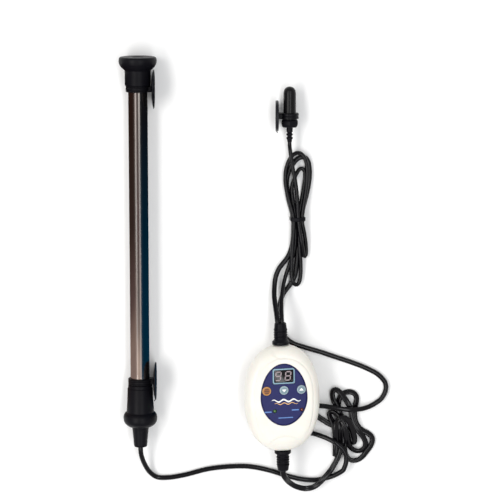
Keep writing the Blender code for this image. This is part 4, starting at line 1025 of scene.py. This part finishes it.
def digit(name, cx, cy, dim):
    bright, dull = [], []
    w, h = 5.1, 4.25
    bars = {"a": (0, h, w - 0.5, False), "g": (0, 0, w - 0.5, False), "d": (0, -h, w - 0.5, False),
            "f": (-w / 2, h / 2, h - 0.45, True), "b": (w / 2, h / 2, h - 0.45, True),
            "e": (-w / 2, -h / 2, h - 0.45, True), "c": (w / 2, -h / 2, h - 0.45, True)}
    for key, (x, y, length, upright) in bars.items():
        (dull if key in dim else bright).append(segment(x, y, length, upright))
    for kind, shapes, material in (("lit", bright, "digit"), ("dim", dull, "digit_dark")):
        if not shapes:
            continue
        bm = bmesh.new()
        for shape in shapes:
            low = [bm.verts.new((cx + x, cy + y, 14.88)) for x, y in shape]
            high = [bm.verts.new((cx + x, cy + y, 14.96)) for x, y in shape]
            bm.faces.new(list(reversed(low)))
            bm.faces.new(high)
            for i in range(6):
                j = (i + 1) % 6
                bm.faces.new((low[i], low[j], high[j], high[i]))
        show(f"{name}_{kind}", bm, CASE, material, "frame")


digit("left_digit", -5.5, 24.9, "e")
digit("right_digit", 4.3, 24.9, "")
for i, x in enumerate((-1.2, 8.3)):
    show(f"decimal_{i + 1}", turned([(0, 14.88), (0.62, 14.88), (0.62, 14.95), (0, 14.97)], 24),
         CASE @ Matrix.Translation((x, 20.3, 0)), "digit_dark", "frame")


# keys: a flange under the case, a body with an eased rim, a coloured face and its mark; the body wears the face's
# colour made lighter, a painted highlight on its rim
def key(name, x, face, rim, node_name, body, slot, mark):
    here = CASE @ Matrix.Translation((x, 10.5, 0))
    # the body takes the lighter colour: painted highlight on the eased rim round the face
    show(name, turned(softened([
        (0, 8.2), (1.5, 8.2), (1.5, 11.0), (5.3, 11.0), (5.3, 12.1), (4.35, 12.1), (4.35, 15.6),
        (4.1, 16.0), (3.55, 16.1), (3.45, 15.92), (0, 15.92)], 0.22, 3), 96), here, rim, body,
        [node_name])
    show(name + "_face", turned(softened([(0, 15.9), (3.4, 15.9), (3.4, 15.98), (3.1, 16.06),
                                          (0, 16.1)], 0.1, 3), 72), here, face, body)
    if mark == "set":
        bars = [rounded_rect(2.0, 0.55, 0.4, 0, y) for y in (1.75, -1.75)]
        for k, shape in enumerate(bars):
            show(f"{name}_mark_{k + 1}", prism(shape, 16.05, 16.14), here, "orange_dark", body)
        show(name + "_mark", prism(rounded_rect(2.5, 0.55, 0.4, 0, 0), 16.05, 16.15), here,
             "orange_dark", body)
    else:
        s = 1 if mark == "up" else -1
        shape = softened([(-2.35, -1.0 * s), (2.35, -1.0 * s), (0.0, 1.75 * s),
                          (-2.35, -1.0 * s)], 0.25, 3)[:-1]
        if s < 0:
            shape = list(reversed(shape))
        show(name + "_mark", prism(shape, 16.05, 16.15), here, "white", body)


key("set_button_cap", -17.4, "orange", "orange_with_painted_highlight", "set_key", "set_button", "key_orange", "set")
key("down_button_cap", 0.0, "grey", "grey_with_painted_highlight", "down_key", "down_button", "key_grey", "down")
key("up_button_cap", 17.4, "grey", "grey_with_painted_highlight", "up_key", "up_button", "key_grey", "up")

for name, x, y, material in (("power_led", -9.5, -10.2, "led_green"),
                             ("heating_led", 17.6, -10.1, "led_red")):
    show(name + "_lens", turned([(0, 4.3), (1.8, 4.3), (1.8, 10.2), (1.65, 10.2)] + [
        (1.65 * math.cos(math.radians(a)), 14.3 + 1.4 * math.sin(math.radians(a)))
        for a in range(0, 91, 10)], 40), CASE @ Matrix.Translation((x, y, 0)), material, "frame",
        [name])


# a plain printed wave and two small bars by the lamps
def printed(name, outlines, material):
    bm = bmesh.new()
    for shape in outlines:
        low = [bm.verts.new((x, y, 15.10)) for x, y in shape]
        high = [bm.verts.new((x, y, 15.19)) for x, y in shape]
        bm.faces.new(list(reversed(low)))
        bm.faces.new(high)
        for i in range(len(shape)):
            j = (i + 1) % len(shape)
            bm.faces.new((low[i], low[j], high[j], high[i]))
    show(name, bm, CASE, material, "frame")


def wave(cx, cy, width, height, thick, cycles, phase=0.0):
    upper, lower = [], []
    for i in range(65):
        u = i / 64
        x = cx - width / 2 + width * u
        y = cy + height * math.sin(2 * math.pi * cycles * u + phase)
        t = thick / 2 * (math.sin(math.pi * u) ** 0.5 if 0 < u < 1 else 0.0)
        upper.append((x, y + t + 0.02))
        lower.append((x, y - t - 0.02))
    return upper + list(reversed(lower))


printed("label_wave", [wave(2.0, 0.0, 30.0, 1.15, 1.7, 3.0)], "white")
printed("label_wave_warm", [wave(2.0, -3.0, 24.0, 0.8, 0.8, 3.0)], "amber")
printed("label_bars", [rounded_rect(3.6, 0.62, 0.4, -16.4, -10.9, 4),
                       rounded_rect(3.6, 0.62, 0.4, 11.0, -9.9, 4),
                       rounded_rect(7.4, 0.5, 0.35, 1.2, -17.4, 4)], "blue")


# ---------------------------------------------------------------- glands
def gland(name, turn, flange_r, body_r, end, node_name, taper):
    profile = [(0, 47.0), (5.3, 47.0), (5.3, 49.0), (4.6, 49.0), (4.6, 54.4), (flange_r, 54.4),
               (flange_r, 56.9), (flange_r - 0.5 - taper, 57.3 + 1.1 * taper),
               (body_r + 0.5, 57.6 + 1.6 * taper)]
    for k in range(4):
        low = 59.8 + 2.55 * k
        profile += [(body_r + 0.1, low), (body_r + 0.1, low + 0.7), (body_r + 0.7, low + 0.95),
                    (body_r + 0.35, low + 2.2)]
    profile += [(body_r + 0.05, 70.4), (body_r - 0.45, end - 0.9), (body_r - 0.8, end - 0.25),
                (body_r - 1.2, end), (3.6, end), (3.5, end - 2.4), (0, end - 2.4)]

    def notched(radius, height, t):
        """Cross slots between the ribs let the sleeve flex."""
        if 60.2 < height < 70.2 and radius > body_r - 0.2:
            low = (height - 59.8) % 2.55
            turn_by = math.pi / 2 * (int((height - 59.8) / 2.55) % 2)
            if low < 0.9:
                radius -= 0.9 * step(abs(math.cos(t + turn_by)), 0.55, 0.75)
        return radius, height
    show(name, turned(softened(profile, 0.25, 3), 120, wobble=notched), turn, "rubber", "frame",
         [node_name])


gland("upper_gland", CASE_UP, 8.6, 6.2, 76.0, "top_gland", 1.0)
gland("lower_gland", CASE_DOWN, 8.3, 5.9, 75.0, "bottom_gland", 0.0)


# ---------------------------------------------------------------- hank tie
def round_the_strands(skin=0.66):
    """The taut loop round every strand where the tie crosses them, as even points."""
    spots = []
    for line, radius in ((heater_line, 2.5), (sensor_line, 2.0)):
        for one, two in zip(line, line[1:]):
            if (one[1] - TIE_Y) * (two[1] - TIE_Y) <= 0 and one[1] != two[1]:
                f = (TIE_Y - one[1]) / (two[1] - one[1])
                x, z = one[0] + f * (two[0] - one[0]), one[2] + f * (two[2] - one[2])
                spots += [(x + (radius + skin) * math.cos(math.radians(a)),
                           max(0.66, z + (radius + skin) * math.sin(math.radians(a))))
                          for a in range(0, 360, 10)]
    spots = sorted(set(spots))
    hull = []
    for order in (spots, spots[::-1]):
        side = []
        for p in order:
            while len(side) > 1 and ((side[-1][0] - side[-2][0]) * (p[1] - side[-2][1])
                                     - (side[-1][1] - side[-2][1]) * (p[0] - side[-2][0])) <= 0:
                side.pop()
            side.append(p)
        hull += side[:-1]
    loop = np.array(hull + hull[:1])
    walked = np.concatenate([[0], np.cumsum(np.linalg.norm(np.diff(loop, axis=0), axis=1))])
    at = np.linspace(0, walked[-1], 73)[:-1]
    return [(float(np.interp(d, walked, loop[:, 0])), float(np.interp(d, walked, loop[:, 1])))
            for d in at]


def tie_ring():
    bm = bmesh.new()
    path = round_the_strands()
    rings = []
    count = len(path)
    for i in range(count):
        x, z = path[i]
        xa, za = path[i - 1]
        xb, zb = path[(i + 1) % count]
        tx, tz = xb - xa, zb - za
        n = math.hypot(tx, tz)
        nx, nz = tz / n, -tx / n
        ring = []
        for k in range(16):
            t = 2 * math.pi * k / 16
            out = 0.62 * math.cos(t)
            along = 2.0 * math.copysign(abs(math.sin(t)) ** 0.8, math.sin(t))
            ring.append(bm.verts.new((x + nx * out, TIE_Y + along, max(0.05, z + nz * out))))
        rings.append(ring)
    for i in range(count):
        one, two = rings[i], rings[(i + 1) % count]
        for k in range(16):
            m = (k + 1) % 16
            bm.faces.new((one[k], one[m], two[m], two[k]))
    return bm


show("hank_tie_band", tie_ring(), FLAT, "rubber", "frame", ["hank_tie"], 60)

# ---------------------------------------------------------------- CAD nodes that stay
for name, material in {
    "top_seal_ring": "seal", "bottom_seal_ring": "seal", "ceramic_core": "ceramic",
    "heating_coil": "wire", "magnesia_sleeve": "magnesia", "thermal_cutout": "steel",
    "potting_plug": "epoxy", "thermistor_bead": "epoxy", "sensor_potting": "epoxy",
    "display_module": "black", "set_switch": "black", "down_switch": "black",
    "up_switch": "black", "circuit_board": "board", "microcontroller": "black",
    "relay": "relay", "transformer": "yellow", "terminal_block": "block",
    "case_screw_1": "steel", "case_screw_2": "steel", "case_screw_3": "steel",
    "case_screw_4": "steel", "plug_blade_1": "brass", "plug_blade_2": "brass",
}.items():
    NODES[name].data.materials.clear()
    NODES[name].data.materials.append(mat(material))

# ================================================================ floor and light
plane = bmesh.new()
bmesh.ops.create_grid(plane, x_segments=2, y_segments=2, size=3.0)
floor_mesh = bpy.data.meshes.new("floor")
plane.to_mesh(floor_mesh)
plane.free()
floor = bpy.data.objects.new("floor", floor_mesh)
floor.location = (0, 0, -0.0002)
paper, paper_shader = shader_of("floor_paper", (0.94, 0.94, 0.94), 0.9)
paper_shader.inputs["Specular IOR Level"].default_value = 0.1
floor_mesh.materials.append(paper)
SCENE.collection.objects.link(floor)

sky = bpy.data.worlds.new("studio")
SCENE.world = sky
sky.use_nodes = True
sky.node_tree.nodes["Background"].inputs["Color"].default_value = (1.0, 1.0, 1.0, 1.0)
sky.node_tree.nodes["Background"].inputs["Strength"].default_value = 0.56


def softbox(name, place, aim, size, power, tint=(1, 1, 1)):
    light = bpy.data.lights.new(name, "AREA")
    light.shape = "RECTANGLE"
    light.size, light.size_y = size
    light.energy = power
    light.color = tint
    made = bpy.data.objects.new(name, light)
    made.location = place
    back = (Vector(place) - Vector(aim)).normalized()
    along = (Vector((0, 1, 0)) - back * back.y).normalized()
    made.rotation_euler = Matrix((along.cross(back), along, back)).transposed().to_euler()
    SCENE.collection.objects.link(made)
    return made


# two long boxes, either side of the camera, draw the two bright lines down the tube
softbox("key", (-0.98, -0.05, 1.62), (-0.05, 0, 0), (0.60, 2.0), 22.0, (1.0, 0.985, 0.965))
softbox("fill", (0.44, -0.05, 1.78), (-0.02, 0, 0), (0.34, 2.0), 13.0, (0.97, 0.985, 1.0))

# cards round the bright tube, seen only in its reflections: a brown side, a navy side, and a
# brown strip between two grey lines, each with its own tone at five places along the tube
ALONG = (0.0, 0.11, 0.24, 0.50, 0.90)
for name, outline, tones in (
        ("card_left", ((-12.2, 0.6), (-30.0, 2.0), (-62.0, 20.0), (-76.0, 60.0), (-70.0, 92.0),
                       (-57.0, 106.0)),
         ((0.36, 0.27, 0.245), (0.34, 0.25, 0.22), (0.15, 0.10, 0.095), (0.055, 0.035, 0.030),
          (0.035, 0.018, 0.014))),
        ("card_line_left", ((-57.0, 106.0), (-32.0, 112.0)),
         ((0.80, 0.66, 0.60), (0.45, 0.42, 0.42), (0.33, 0.29, 0.28), (0.42, 0.44, 0.46),
          (0.50, 0.46, 0.48))),
        ("card_middle", ((-32.0, 112.0), (-10.0, 116.0), (10.0, 114.0)),
         ((0.60, 0.48, 0.42), (0.30, 0.24, 0.22), (0.14, 0.125, 0.125), (0.12, 0.075, 0.075),
          (0.11, 0.09, 0.09))),
        ("card_line_right", ((10.0, 114.0), (36.0, 112.0)),
         ((0.55, 0.50, 0.48), (0.38, 0.36, 0.36), (0.42, 0.36, 0.35), (0.34, 0.34, 0.36),
          (0.56, 0.56, 0.56))),
        ("card_right", ((12.2, 0.6), (30.0, 2.0), (62.0, 20.0), (72.0, 60.0), (60.0, 96.0),
                        (36.0, 112.0)),
         ((0.0016, 0.034, 0.075), (0.0010, 0.038, 0.088), (0.0008, 0.034, 0.082),
          (0.0008, 0.024, 0.054), (0.008, 0.009, 0.013)))):
    card = bmesh.new()
    near = [card.verts.new(P(-79.0 + x, -150.0, z)) for x, z in outline]
    far = [card.verts.new(P(-79.0 + x, 190.0, z)) for x, z in outline]
    for i in range(len(outline) - 1):
        card.faces.new((near[i], near[i + 1], far[i + 1], far[i]))
    card_mesh = bpy.data.meshes.new(name)
    card.to_mesh(card_mesh)
    card.free()
    flag = bpy.data.objects.new(name, card_mesh)
    made = bpy.data.materials.new(name)
    made.use_nodes = True
    tree = made.node_tree
    tree.nodes.clear()
    where = tree.nodes.new("ShaderNodeTexCoord")
    split = tree.nodes.new("ShaderNodeSeparateXYZ")
    tree.links.new(where.outputs["Object"], split.inputs["Vector"])
    place = tree.nodes.new("ShaderNodeMapRange")
    place.inputs["From Min"].default_value = -0.125
    place.inputs["From Max"].default_value = 0.175
    tree.links.new(split.outputs["Y"], place.inputs["Value"])
    fade = ramp(tree, place.outputs["Result"], list(zip(ALONG, tones)))
    glow = tree.nodes.new("ShaderNodeEmission")
    tree.links.new(fade, glow.inputs["Color"])
    out = tree.nodes.new("ShaderNodeOutputMaterial")
    tree.links.new(glow.outputs["Emission"], out.inputs["Surface"])
    card_mesh.materials.append(made)
    SCENE.collection.objects.link(flag)
    flag.visible_camera = flag.visible_diffuse = flag.visible_shadow = False
    flag.visible_transmission = False
    flag.visible_glossy = True
